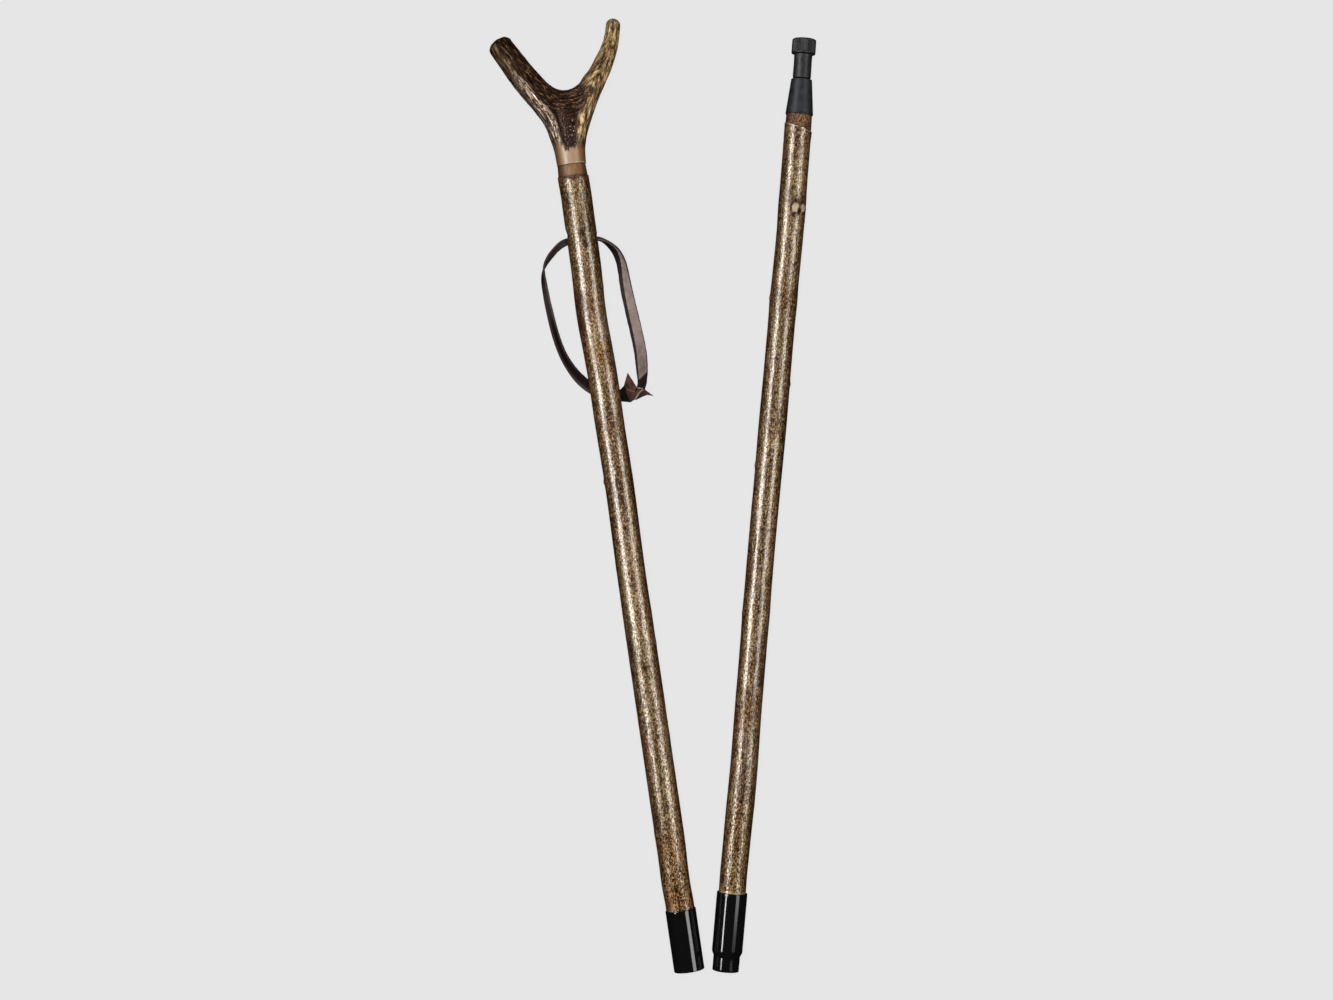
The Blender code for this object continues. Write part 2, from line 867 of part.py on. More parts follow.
def ribbon_rings(samples):
    """Sections of the ribbon: flat ovals of eight corners, squarer where the strap is flat."""
    spans = len(ROUTE) - 1
    line = [spline_through(ROUTE, spans * i / (samples - 1)) for i in range(samples)]
    centres = [on_surface(*row[:3]) for row in line]
    world_up = (upper_matrix.to_3x3().inverted() @ Vector((0, 0, 1))).normalized()
    rings = []
    for i, (row, centre) in enumerate(zip(line, centres)):
        run = centres[min(i + 1, samples - 1)] - centres[max(i - 1, 0)]
        run.normalize()
        outward = run.cross(world_up).normalized()
        rise = outward.cross(run)
        lean = math.radians(row[5])
        wide = outward * math.cos(lean) + rise * math.sin(lean)
        face = wide.cross(run)
        w, t = row[3] / 2, row[4] / 2
        corner = min(0.45 * t, 0.6)
        rings.append(
            [
                centre + wide * a + face * b
                for a, b in (
                    (w, -t + corner),
                    (w, t - corner),
                    (w - corner, t),
                    (-w + corner, t),
                    (-w, t - corner),
                    (-w, -t + corner),
                    (-w + corner, -t),
                    (w - corner, -t),
                )
            ]
        )
    return rings


def knot_rings():
    """The knot lies at the right of the shank: ovals across the stick, ending in the cut tail."""
    rings = []
    for across, station, half, low, high in (
        (13.4, 549.3, 3.6, 0.4, 4.2),
        (17.0, 549.5, 6.0, 0.2, 7.4),
        (22.5, 548.9, 7.0, 0.2, 9.0),
        (29.0, 549.5, 6.8, 0.2, 9.2),
        (35.0, 550.5, 4.8, 0.3, 8.2),
        (39.5, 548.9, 2.4, 1.2, 5.4),
        (43.6, 546.1, 0.7, 2.2, 3.6),
    ):
        middle, half_height = (low + high) / 2, (high - low) / 2
        rings.append(
            [
                on_surface(
                    across,
                    station + half * math.cos(math.tau * (i + 0.5) / 12),
                    middle + half_height * math.sin(math.tau * (i + 0.5) / 12),
                )
                for i in range(12)
            ]
        )
    return rings


def flap_rings():
    """The other cut tail stands up from the knot as a pointed flap."""
    rings = []
    for station, left, right, low, high in (
        (549.9, 15.8, 31.0, 4.6, 6.8),
        (557.4, 16.8, 31.0, 5.2, 7.2),
        (563.9, 20.2, 27.8, 5.8, 7.6),
        (569.9, 23.4, 25.0, 6.4, 7.8),
    ):
        rings.append(
            [
                on_surface(across, station, height)
                for across, height in (
                    (left, low),
                    (right, low),
                    (right, high),
                    (left, high),
                )
            ]
        )
    return rings


strap_mesh = loft("wrist_strap", ribbon_rings(106))
strap_mesh.materials.append(LEATHER)
strap = place(
    bpy.data.objects.new("wrist_strap", strap_mesh), parts, upper_matrix, strap_axis
)
for name, rings in (("knot_form", knot_rings()), ("flap_form", flap_rings())):
    boolean(
        strap,
        place(
            bpy.data.objects.new(name, loft(name, rings)),
            cutters,
            upper_matrix,
            strap_axis,
        ),
        "UNION",
    )
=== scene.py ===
"""Looks of a two-piece stalking stick, taken apart and laid on a pale surface.

Each section has a frame of its own, in millimetres: up, across the stick, and along it from
the joint end. The pieces are made there and put into the row frame, in metres.
"""

import math

import bmesh
import bpy
import numpy as np
from mathutils import Matrix, Vector, noise


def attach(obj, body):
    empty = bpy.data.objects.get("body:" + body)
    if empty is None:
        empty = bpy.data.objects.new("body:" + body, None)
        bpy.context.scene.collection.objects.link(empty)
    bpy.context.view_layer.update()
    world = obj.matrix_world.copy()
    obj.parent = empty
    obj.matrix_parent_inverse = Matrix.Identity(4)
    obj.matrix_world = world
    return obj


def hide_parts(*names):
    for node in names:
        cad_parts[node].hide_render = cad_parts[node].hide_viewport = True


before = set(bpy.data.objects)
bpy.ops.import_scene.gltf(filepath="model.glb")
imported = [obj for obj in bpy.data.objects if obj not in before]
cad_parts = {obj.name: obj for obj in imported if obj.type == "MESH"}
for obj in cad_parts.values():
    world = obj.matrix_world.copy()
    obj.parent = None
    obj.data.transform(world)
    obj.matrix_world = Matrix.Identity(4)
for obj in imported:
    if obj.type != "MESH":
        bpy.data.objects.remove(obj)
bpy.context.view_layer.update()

MM = 0.001
TAU = math.tau

# ------------------------------------------------------------------ camera, light and floor

PIXEL_MM = 0.95  # at the sticks' axes
IMAGE_WIDTH = 1333
CAMERA_HEIGHT = 2.375

camera_data = bpy.data.cameras.new("camera")
camera_data.sensor_fit = "HORIZONTAL"
camera_data.sensor_width = 36.0
camera_data.lens = 36.0 * CAMERA_HEIGHT / (IMAGE_WIDTH * PIXEL_MM * MM)
camera_data.clip_end = 100.0
camera = bpy.data.objects.new("camera", camera_data)
camera.location = (0.0129, -0.0044, CAMERA_HEIGHT + 0.014)
bpy.context.scene.collection.objects.link(camera)
bpy.context.scene.camera = camera

bpy.context.scene.view_settings.view_transform = "Standard"
bpy.context.scene.view_settings.look = "None"
bpy.context.scene.view_settings.exposure = 0.0
bpy.context.scene.view_settings.gamma = 1.0


def softbox(name, centre, target, width, length, radiance, gloss=True, colour=True):
    """A long soft light whose length runs along Y, for gloss, for colour or for both."""
    data = bpy.data.lights.new(name, "AREA")
    data.shape = "RECTANGLE"
    data.size = width
    data.size_y = length
    data.energy = radiance * math.pi * width * length
    light = bpy.data.objects.new(name, data)
    to = (Vector(centre) - Vector(target)).normalized()
    side = Vector((0, 1, 0)).cross(to).normalized()
    turn = Matrix((side, to.cross(side), to)).transposed().to_4x4()
    light.matrix_world = Matrix.Translation(centre) @ turn
    light.visible_glossy = gloss
    light.visible_diffuse = colour
    bpy.context.scene.collection.objects.link(light)
    return light


softbox("light_left", (-0.93, 0.37, 1.07), (0, 0.37, 0), 0.58, 1.66, 13.8, colour=False)
softbox("light_left_end", (-0.95, -0.56, 1.05), (0, -0.56, 0), 0.22, 0.18, 18.0, colour=False)
softbox("light_right", (1.06, 0.06, 1.02), (0.04, 0.06, 0), 0.60, 1.72, 6.6, colour=False)
softbox("light_top", (-0.15, 0.1, 3.0), (0, 0, 0), 1.3, 1.3, 15.5, gloss=False)

world = bpy.data.worlds.new("studio")
world.use_nodes = True
bpy.context.scene.world = world
wt = world.node_tree
wt.nodes.clear()
w_out = wt.nodes.new("ShaderNodeOutputWorld")
w_path = wt.nodes.new("ShaderNodeLightPath")
w_last = None
for ray, grey in (
    (None, 0.10),
    ("Is Glossy Ray", 0.010),
    ("Is Camera Ray", 0.791),
):
    shade = wt.nodes.new("ShaderNodeBackground")
    shade.inputs["Color"].default_value = (grey, grey, grey, 1)
    if ray is None:
        w_last = shade
        continue
    w_mix = wt.nodes.new("ShaderNodeMixShader")
    wt.links.new(w_path.outputs[ray], w_mix.inputs[0])
    wt.links.new(w_last.outputs[0], w_mix.inputs[1])
    wt.links.new(shade.outputs[0], w_mix.inputs[2])
    w_last = w_mix
wt.links.new(w_last.outputs[0], w_out.inputs["Surface"])


# ------------------------------------------------------------------ node helpers


def tree_of(name):
    material = bpy.data.materials.new(name)
    material.use_nodes = True
    return material, material.node_tree, material.node_tree.nodes["Principled BSDF"]


def put(tree, socket, value):
    if isinstance(value, bpy.types.NodeSocket):
        tree.links.new(value, socket)
    elif hasattr(socket.default_value, "__len__") and not hasattr(value, "__len__"):
        socket.default_value = [value] * len(socket.default_value)
    elif hasattr(value, "__len__") and len(socket.default_value) == 4:
        socket.default_value = (*value[:3], 1.0)
    else:
        socket.default_value = value


def node(tree, kind, inputs=None, **settings):
    made = tree.nodes.new(kind)
    for key, value in settings.items():
        setattr(made, key, value)
    for key, value in (inputs or {}).items():
        put(tree, made.inputs[key], value)
    return made


def attribute(tree, name, output="Fac"):
    return node(tree, "ShaderNodeAttribute", attribute_name=name).outputs[output]


def stretched(tree, vector, scale):
    """Coordinates scaled per axis, to draw a texture out along the stick."""
    made = node(tree, "ShaderNodeMapping", {"Vector": vector, "Scale": scale})
    return made.outputs["Vector"]


def grain(tree, vector, scale, detail=3.0, rough=0.55, distortion=0.0):
    made = node(
        tree,
        "ShaderNodeTexNoise",
        {
            "Vector": vector,
            "Scale": scale,
            "Detail": detail,
            "Roughness": rough,
            "Distortion": distortion,
        },
    )
    return made.outputs[0]


def cells(tree, vector, scale, feature="F1", output="Distance", randomness=1.0):
    made = node(
        tree,
        "ShaderNodeTexVoronoi",
        {"Vector": vector, "Scale": scale, "Randomness": randomness},
        feature=feature,
    )
    return made.outputs[output]


def sums(tree, operation, a, b, c=None):
    made = node(tree, "ShaderNodeMath", operation=operation)
    put(tree, made.inputs[0], a)
    put(tree, made.inputs[1], b)
    if c is not None:
        put(tree, made.inputs[2], c)
    return made.outputs[0]


def mix(tree, share, a, b, how="MIX"):
    made = node(tree, "ShaderNodeMix", data_type="RGBA", blend_type=how)
    made.clamp_factor = True
    put(tree, made.inputs[0], share)
    put(tree, made.inputs[6], a)
    put(tree, made.inputs[7], b)
    return made.outputs[2]


def ramp_of(tree, share, stops):
    made = node(tree, "ShaderNodeValToRGB", {"Fac": share})
    elements = made.color_ramp.elements
    while len(elements) < len(stops):
        elements.new(0.5)
    for element, (place, colour) in zip(elements, stops):
        element.position = place
        element.color = (*colour, 1.0) if len(colour) == 3 else colour
    return made.outputs["Color"]


def step_of(tree, share, low, high, to_low=0.0, to_high=1.0):
    made = node(
        tree,
        "ShaderNodeMapRange",
        {
            "Value": share,
            "From Min": low,
            "From Max": high,
            "To Min": to_low,
            "To Max": to_high,
        },
        interpolation_type="SMOOTHSTEP",
    )
    return made.outputs["Result"]


def bump_of(tree, height, strength, distance, normal=None):
    made = node(
        tree,
        "ShaderNodeBump",
        {"Height": height, "Strength": strength, "Distance": distance},
    )
    if normal is not None:
        tree.links.new(normal, made.inputs["Normal"])
    return made.outputs["Normal"]


# ------------------------------------------------------------------ floor

floor_data = bpy.data.meshes.new("floor")
floor_data.from_pydata(
    [(-15, -15, 0), (15, -15, 0), (15, 15, 0), (-15, 15, 0)], [], [(0, 1, 2, 3)]
)
floor = bpy.data.objects.new("floor", floor_data)
floor.location = (0, 0, -0.0004)
bpy.context.scene.collection.objects.link(floor)
floor.visible_glossy = False
floor.visible_diffuse = False
floor_paint = bpy.data.materials.new("pale_floor")
floor_paint.use_nodes = True
ft = floor_paint.node_tree
ft.nodes.clear()
f_out = node(ft, "ShaderNodeOutputMaterial")
f_add = node(ft, "ShaderNodeAddShader")
f_glow = node(
    ft, "ShaderNodeEmission", {"Color": (0.745, 0.745, 0.745), "Strength": 1.0}
)
f_matte = node(ft, "ShaderNodeBsdfDiffuse", {"Color": (0.05, 0.05, 0.05)})
ft.links.new(f_glow.outputs[0], f_add.inputs[0])
ft.links.new(f_matte.outputs[0], f_add.inputs[1])
ft.links.new(f_add.outputs[0], f_out.inputs["Surface"])
floor_data.materials.append(floor_paint)


# ------------------------------------------------------------------ section frames


def section_matrix(xy, height, lean, rise):
    """Frame of a section: x up, y across, z along the stick."""
    along = Vector(
        (
            -math.sin(lean) * math.cos(rise),
            math.cos(lean) * math.cos(rise),
            math.sin(rise),
        )
    )
    across = Vector((math.cos(lean), math.sin(lean), 0.0))
    matrix = Matrix((across.cross(along), across, along)).transposed().to_4x4()
    matrix.translation = Vector((xy[0], xy[1], height)) * MM
    return matrix


CONE_START, CONE_END = 815.9, 849.5
SLEEVE_END, SLEEVE_RADIUS = 74.4, 14.5
upper_matrix = section_matrix((34.6, -450.8), 14.5, math.radians(8.33), 3.85 / 760.0)
LOWER_RISE = (13.2 - SLEEVE_RADIUS) / (CONE_START - SLEEVE_END)
lower_matrix = section_matrix(
    (68.9, -451.2),
    SLEEVE_RADIUS - LOWER_RISE * SLEEVE_END,
    math.radians(-4.95),
    LOWER_RISE,
)
TIP_ACROSS, TIP_SKEW = -0.3, math.radians(1.0)
tip_matrix = (
    lower_matrix
    @ Matrix.Translation((0, TIP_ACROSS * MM, CONE_START * MM))
    @ Matrix.Rotation(TIP_SKEW, 4, "X")
    @ Matrix.Translation((0, 0, -CONE_START * MM))
)


def to_world(matrix, points):
    """Section millimetres (..., 3) to row-frame metres."""
    m = np.array(matrix)
    return points * MM @ m[:3, :3].T + m[:3, 3]


# ------------------------------------------------------------------ number helpers


def lattice(ix, iy, iz, seed):
    with np.errstate(over="ignore"):
        h = (
            ix.astype(np.uint32) * np.uint32(0x8DA6B343)
            ^ iy.astype(np.uint32) * np.uint32(0xD8163841)
            ^ iz.astype(np.uint32) * np.uint32(0xCB1AB31F)
            ^ np.uint32((seed * 0x9E3779B1) & 0xFFFFFFFF)
        )
        h ^= h >> np.uint32(13)
        h *= np.uint32(0x5BD1E995)
        h ^= h >> np.uint32(15)
        h *= np.uint32(0x27D4EB2D)
        h ^= h >> np.uint32(13)
    return h / 2147483648.0 - 1.0


def smooth_noise(points, scale, seed):
    """Even noise from -1 to 1; scale is the size of its features, per axis or one for all."""
    q = points / np.asarray(scale, float)
    i = np.floor(q).astype(np.int64)
    f = q - i
    f = f * f * (3 - 2 * f)
    total = 0.0
    for dx in (0, 1):
        for dy in (0, 1):
            for dz in (0, 1):
                weight = (
                    (f[..., 0] if dx else 1 - f[..., 0])
                    * (f[..., 1] if dy else 1 - f[..., 1])
                    * (f[..., 2] if dz else 1 - f[..., 2])
                )
                total = total + weight * lattice(
                    i[..., 0] + dx, i[..., 1] + dy, i[..., 2] + dz, seed
                )
    return total


def rough_noise(points, scale, seed, octaves=4, gain=0.55):
    total, share, whole = 0.0, 1.0, 0.0
    for k in range(octaves):
        total = total + share * smooth_noise(
            points, np.asarray(scale, float) / 2**k, seed + 17 * k
        )
        whole += share
        share *= gain
    return total / whole


def bump(z, centre, half):
    return np.exp(-(((z - centre) / half) ** 2))


def ramp(z, start, end):
    t = np.clip((z - start) / (end - start), 0.0, 1.0)
    return t * t * (3 - 2 * t)


# ------------------------------------------------------------------ mesh helpers


def grid_faces(rows, cols, wrap_rows=False):
    i = np.arange(rows if wrap_rows else rows - 1)[:, None]
    j = np.arange(cols)[None, :]
    ni, nj = (i + 1) % rows, (j + 1) % cols
    quads = np.stack(
        [i * cols + j, i * cols + nj, ni * cols + nj, ni * cols + j], axis=-1
    )
    return quads.reshape(-1, 4)


def make_mesh(name, points, faces, attributes=None, sharp=None):
    """A closed mesh in world metres, with its faces turned out and smooth shading."""
    mesh = bpy.data.meshes.new(name)
    mesh.from_pydata(points.reshape(-1, 3).tolist(), [], [list(f) for f in faces])
    for key, values in (attributes or {}).items():
        values = np.asarray(values, np.float32)
        if values.ndim > 1 and values.shape[-1] == 3:
            layer = mesh.attributes.new(key, "FLOAT_VECTOR", "POINT")
            layer.data.foreach_set("vector", values.reshape(-1))
        else:
            layer = mesh.attributes.new(key, "FLOAT", "POINT")
            layer.data.foreach_set("value", values.reshape(-1))
    form = bmesh.new()
    form.from_mesh(mesh)
    bmesh.ops.recalc_face_normals(form, faces=form.faces)
    form.to_mesh(mesh)
    form.free()
    mesh.shade_smooth()
    if sharp is not None:
        mesh.set_sharp_from_angle(angle=math.radians(sharp))
    return mesh


def make_object(name, mesh, body, slot, *replaced, materials=()):
    for material in materials:
        mesh.materials.append(material)
    obj = bpy.data.objects.new(name, mesh)
    bpy.context.scene.collection.objects.link(obj)
    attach(obj, body)
    if replaced:
        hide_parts(*replaced)
    return obj


def rounded(outline, closed=True, steps=4):
    """(radius, station[, rounding]) corners to an outline with rounded corners."""
    done = []
    count = len(outline)
    for i, corner in enumerate(outline):
        here = np.array(corner[:2], float)
        size = corner[2] if len(corner) > 2 else 0.0
        if size <= 0 or (not closed and i in (0, count - 1)):
            done.append(tuple(here))
            continue
        before = np.array(outline[i - 1][:2], float)
        after = np.array(outline[(i + 1) % count][:2], float)
        a, b = before - here, after - here
        la, lb = np.linalg.norm(a), np.linalg.norm(b)
        reach = min(size, 0.49 * la, 0.49 * lb)
        p, q = here + a / la * reach, here + b / lb * reach
        for k in range(steps + 1):
            t = k / steps
            done.append(tuple((1 - t) ** 2 * p + 2 * t * (1 - t) * here + t * t * q))
    return done


def split_long(outline, longest, closed=True):
    """Adds points so that no span of the outline is longer than given."""
    done = []
    count = len(outline)
    for i in range(count if closed else count - 1):
        a = np.array(outline[i], float)
        b = np.array(outline[(i + 1) % count], float)
        parts = max(1, int(math.ceil(np.linalg.norm(b - a) / longest)))
        for k in range(parts):
            done.append(tuple(a + (b - a) * k / parts))
    if not closed:
        done.append(tuple(outline[-1]))
    return done


def turned_mesh(
    name, outline, matrix, cols=96, shape=None, closed=True, sharp=32.0, extra=None
):
    """A turned piece from its outline, (radius, station) pairs. shape(radius, station, angle)
    gives the radius of each point, for ribs and threads. An open outline gets end caps."""
    outline = np.array(outline, float)
    rows = len(outline)
    angle = np.linspace(0, TAU, cols, endpoint=False)[None, :]
    radius = np.repeat(outline[:, :1], cols, 1)
    station = np.repeat(outline[:, 1:2], cols, 1)
    if shape is not None:
        radius = shape(radius, station, angle)
    local = np.stack(
        [radius * np.cos(angle), radius * np.sin(angle), station], axis=-1
    )
    faces = grid_faces(rows, cols, wrap_rows=closed).tolist()
    if not closed:
        faces.append(list(range(cols))[::-1])
        faces.append([(rows - 1) * cols + j for j in range(cols)])
    attributes = {"stick": local.reshape(-1, 3) * MM}
    if extra:
        attributes.update(extra(radius, station, angle))
    return make_mesh(name, to_world(matrix, local), faces, attributes, sharp)


# ------------------------------------------------------------------ finishes


def black_gloss():
    material, tree, shader = tree_of("gloss_black_paint")
    at = attribute(tree, "stick", "Vector")
    flow = stretched(tree, at, (1.0, 1.0, 0.12))
    soft = grain(tree, at, 160.0, 2.0)
    fine = grain(tree, flow, 2600.0, 2.0)
    dust = grain(tree, at, 1500.0, 4.0, 0.7)
    colour = mix(
        tree,
        step_of(tree, dust, 0.62, 0.82, 0.0, 0.35),
        (0.0050, 0.0050, 0.0052),
        (0.022, 0.022, 0.022),
    )
    put(tree, shader.inputs["Base Color"], colour)
    put(tree, shader.inputs["Roughness"], step_of(tree, soft, 0.3, 0.75, 0.05, 0.11))
    # duller where the mask says so
    put(
        tree,
        shader.inputs["Specular IOR Level"],
        step_of(tree, attribute(tree, "worn"), 0.0, 1.0, 0.5, 0.06),
    )
    height = sums(tree, "ADD", sums(tree, "MULTIPLY", soft, 1.0), sums(tree, "MULTIPLY", fine, 0.05))
    put(tree, shader.inputs["Normal"], bump_of(tree, height, 0.2, 0.00016))
    return material


def cone_finish():
    material, tree, shader = tree_of("matte_dark_cone")
    at = attribute(tree, "stick", "Vector")
    rings = grain(tree, stretched(tree, at, (0.08, 0.08, 1.0)), 2600.0, 2.0)
    cloud = grain(tree, at, 220.0, 4.0, 0.6)
    speck = grain(tree, at, 1700.0, 3.0, 0.7)
    colour = mix(tree, step_of(tree, cloud, 0.3, 0.7), (0.0125, 0.0135, 0.017), (0.027, 0.030, 0.036))
    colour = mix(
        tree, step_of(tree, speck, 0.6, 0.78, 0.0, 0.5), colour, (0.075, 0.083, 0.092)
    )
    worn = attribute(tree, "worn")
    colour = mix(tree, worn, colour, (0.012, 0.011, 0.01))
    put(tree, shader.inputs["Base Color"], colour)
    put(tree, shader.inputs["Roughness"], step_of(tree, cloud, 0.3, 0.7, 0.44, 0.56))
    shader.inputs["Specular IOR Level"].default_value = 0.19
    height = sums(tree, "ADD", rings, sums(tree, "MULTIPLY", speck, 0.6))
    put(tree, shader.inputs["Normal"], bump_of(tree, height, 0.35, 0.00012))
    return material


def rubber_finish():
    material, tree, shader = tree_of("black_rubber")
    at = attribute(tree, "stick", "Vector")
    fine = grain(tree, at, 2400.0, 4.0, 0.65)
    cloud = grain(tree, at, 180.0, 3.0)
    colour = mix(tree, step_of(tree, cloud, 0.35, 0.65), (0.0060, 0.0062, 0.0074), (0.021, 0.021, 0.0225))
    colour = mix(
        tree, step_of(tree, fine, 0.6, 0.8, 0.0, 0.4), colour, (0.058, 0.056, 0.053)
    )
    groove = attribute(tree, "groove")
    colour = mix(tree, sums(tree, "MULTIPLY", groove, 0.85), colour, (0.0035, 0.0035, 0.004))
    put(tree, shader.inputs["Base Color"], colour)
    shader.inputs["Specular IOR Level"].default_value = 0.25
    put(tree, shader.inputs["Roughness"], step_of(tree, cloud, 0.3, 0.7, 0.40, 0.54))
    put(tree, shader.inputs["Normal"], bump_of(tree, fine, 0.25, 0.00012))
    return material


def metal_finish(name, colour, dark, roughness, metallic=1.0):
    material, tree, shader = tree_of(name)
    at = attribute(tree, "stick", "Vector")
    around = grain(tree, stretched(tree, at, (0.15, 0.15, 1.0)), 3000.0, 3.0)
    cloud = grain(tree, at, 260.0, 4.0, 0.6)
    put(
        tree,
        shader.inputs["Base Color"],
        mix(tree, step_of(tree, cloud, 0.35, 0.7), colour, dark),
    )
    put(
        tree,
        shader.inputs["Roughness"],
        step_of(tree, around, 0.3, 0.7, roughness - 0.08, roughness + 0.1),
    )
    shader.inputs["Metallic"].default_value = metallic
    put(tree, shader.inputs["Normal"], bump_of(tree, around, 0.25, 0.00006))
    return material


def cad_metal_finish(name, colour, dark, roughness):
    """The same for pieces kept from the frame, which have no stick coordinates."""
    material, tree, shader = tree_of(name)
    at = node(tree, "ShaderNodeTexCoord").outputs["Object"]
    fine = grain(tree, at, 2600.0, 3.0)
    cloud = grain(tree, at, 260.0, 4.0, 0.6)
    put(
        tree,
        shader.inputs["Base Color"],
        mix(tree, step_of(tree, cloud, 0.35, 0.7), colour, dark),
    )
    put(
        tree,
        shader.inputs["Roughness"],
        step_of(tree, fine, 0.3, 0.7, roughness - 0.08, roughness + 0.1),
    )
    shader.inputs["Metallic"].default_value = 1.0
    return material


def bark_finish(name, seed, inner_wood):
    """Varnished hazel bark, with peeled wood where the mask says so."""
    material, tree, shader = tree_of(name)
    at = node(
        tree,
        "ShaderNodeVectorMath",
        {0: attribute(tree, "stick", "Vector"), 1: (seed * 0.31, seed * 0.17, 0.0)},
        operation="ADD",
    ).outputs[0]
    near = stretched(tree, at, (1.0, 1.0, 0.62))
    long_way = stretched(tree, at, (1.0, 1.0, 0.26))
    far_way = stretched(tree, at, (1.0, 1.0, 0.13))
    speck = grain(tree, near, 860.0, 2.0, 0.7)
    mottle = grain(tree, long_way, 210.0, 3.0, 0.62)
    streak = grain(tree, far_way, 75.0, 2.0, 0.5)
    flake = cells(tree, near, 640.0)
    share = sums(tree, "MULTIPLY_ADD", speck, 3.3, -1.15)
    share = sums(tree, "ADD", share, sums(tree, "MULTIPLY_ADD", mottle, 0.62, -0.31))
    share = sums(tree, "ADD", share, sums(tree, "MULTIPLY_ADD", streak, 0.8, -0.4))
    share = sums(tree, "ADD", share, sums(tree, "MULTIPLY_ADD", flake, -0.7, 0.28))
    share = sums(
        tree, "ADD", share, sums(tree, "MULTIPLY", attribute(tree, "light"), 0.14)
    )
    colour = ramp_of(
        tree,
        share,
        [
            (0.0, (0.014, 0.0050, 0.0018)),
            (0.22, (0.046, 0.0185, 0.0056)),
            (0.42, (0.108, 0.051, 0.0138)),
            (0.58, (0.178, 0.092, 0.0265)),
            (0.74, (0.30, 0.176, 0.062)),
            (0.9, (0.46, 0.315, 0.142)),
            (1.0, (0.60, 0.455, 0.255)),
        ],
    )
    olive = step_of(tree, grain(tree, far_way, 62.0, 2.0), 0.5, 0.66, 0.0, 0.6)
    colour = mix(
        tree, olive, colour, mix(tree, 1.0, colour, (0.86, 0.92, 0.62), "MULTIPLY")
    )
    rusty = step_of(tree, grain(tree, long_way, 48.0, 2.0, 0.5), 0.5, 0.66, 0.0, 0.75)
    colour = mix(
        tree, rusty, colour, mix(tree, 1.0, colour, (0.94, 0.66, 0.56), "MULTIPLY")
    )
    # the matt end under the collar is greyer
    matt = attribute(tree, "matt")
    colour = mix(
        tree, sums(tree, "MULTIPLY", matt, 0.8), colour, mix(tree, 1.0, colour, (0.84, 0.92, 1.10), "MULTIPLY")
    )
    # the flanks, at the sides as seen from above, are painted a darker red-brown: painted shade
    across = node(tree, "ShaderNodeSeparateXYZ", {"Vector": attribute(tree, "stick", "Vector")}).outputs["Y"]
    painted_flank_shade = sums(tree, "ADD", sums(tree, "ABSOLUTE", across, 0.0), sums(tree, "MULTIPLY_ADD", streak, 0.010, -0.005))
    colour = mix(
        tree,
        step_of(tree, painted_flank_shade, 0.0078, 0.0128, 0.0, 0.9),
        colour,
        mix(tree, 1.0, colour, (0.64, 0.49, 0.46), "MULTIPLY"),
    )
    warm = attribute(tree, "warm")
    colour = mix(
        tree,
        sums(tree, "MULTIPLY", warm, 0.8),
        colour,
        mix(tree, 1.0, colour, (0.98, 0.78, 0.55), "MULTIPLY"),
    )
    pink = attribute(tree, "pink")
    colour = mix(tree, pink, colour, mix(tree, speck, (0.12, 0.06, 0.045), (0.42, 0.28, 0.20)))
    lenticel = attribute(tree, "dot")
    colour = mix(tree, lenticel, colour, (0.42, 0.33, 0.21))
    callus = attribute(tree, "callus")
    colour = mix(tree, callus, colour, mix(tree, step_of(tree, speck, 0.4, 0.62), (0.045, 0.013, 0.008), (0.22, 0.095, 0.052)))
    cut = attribute(tree, "cut")
    ringed = grain(tree, at, 500.0, 3.0)
    colour = mix(
        tree, cut, colour, mix(tree, ringed, (0.42, 0.29, 0.15), (0.74, 0.62, 0.42))
    )
    # peeled wood: broken fibres with dark gaps, darker and redder at the left
    bits = grain(tree, stretched(tree, at, (1.0, 1.0, 0.8)), 600.0, 2.0, 0.65)
    wood = mix(tree, step_of(tree, bits, 0.44, 0.56), inner_wood[0], inner_wood[1])
    wood = mix(tree, step_of(tree, grain(tree, at, 760.0, 1.0), 0.545, 0.59), wood, inner_wood[2])
    wood = mix(
        tree,
        step_of(tree, bits, 0.46, 0.38, 0.0, inner_wood[4]),
        wood,
        inner_wood[3],
    )
    wood = mix(
        tree,
        step_of(tree, across, -0.0105, -0.0015, 0.75, 0.0),
        wood,
        mix(tree, 1.0, wood, (0.58, 0.36, 0.46), "MULTIPLY"),
    )
    bare = attribute(tree, "bare")
    colour = mix(tree, bare, colour, wood)
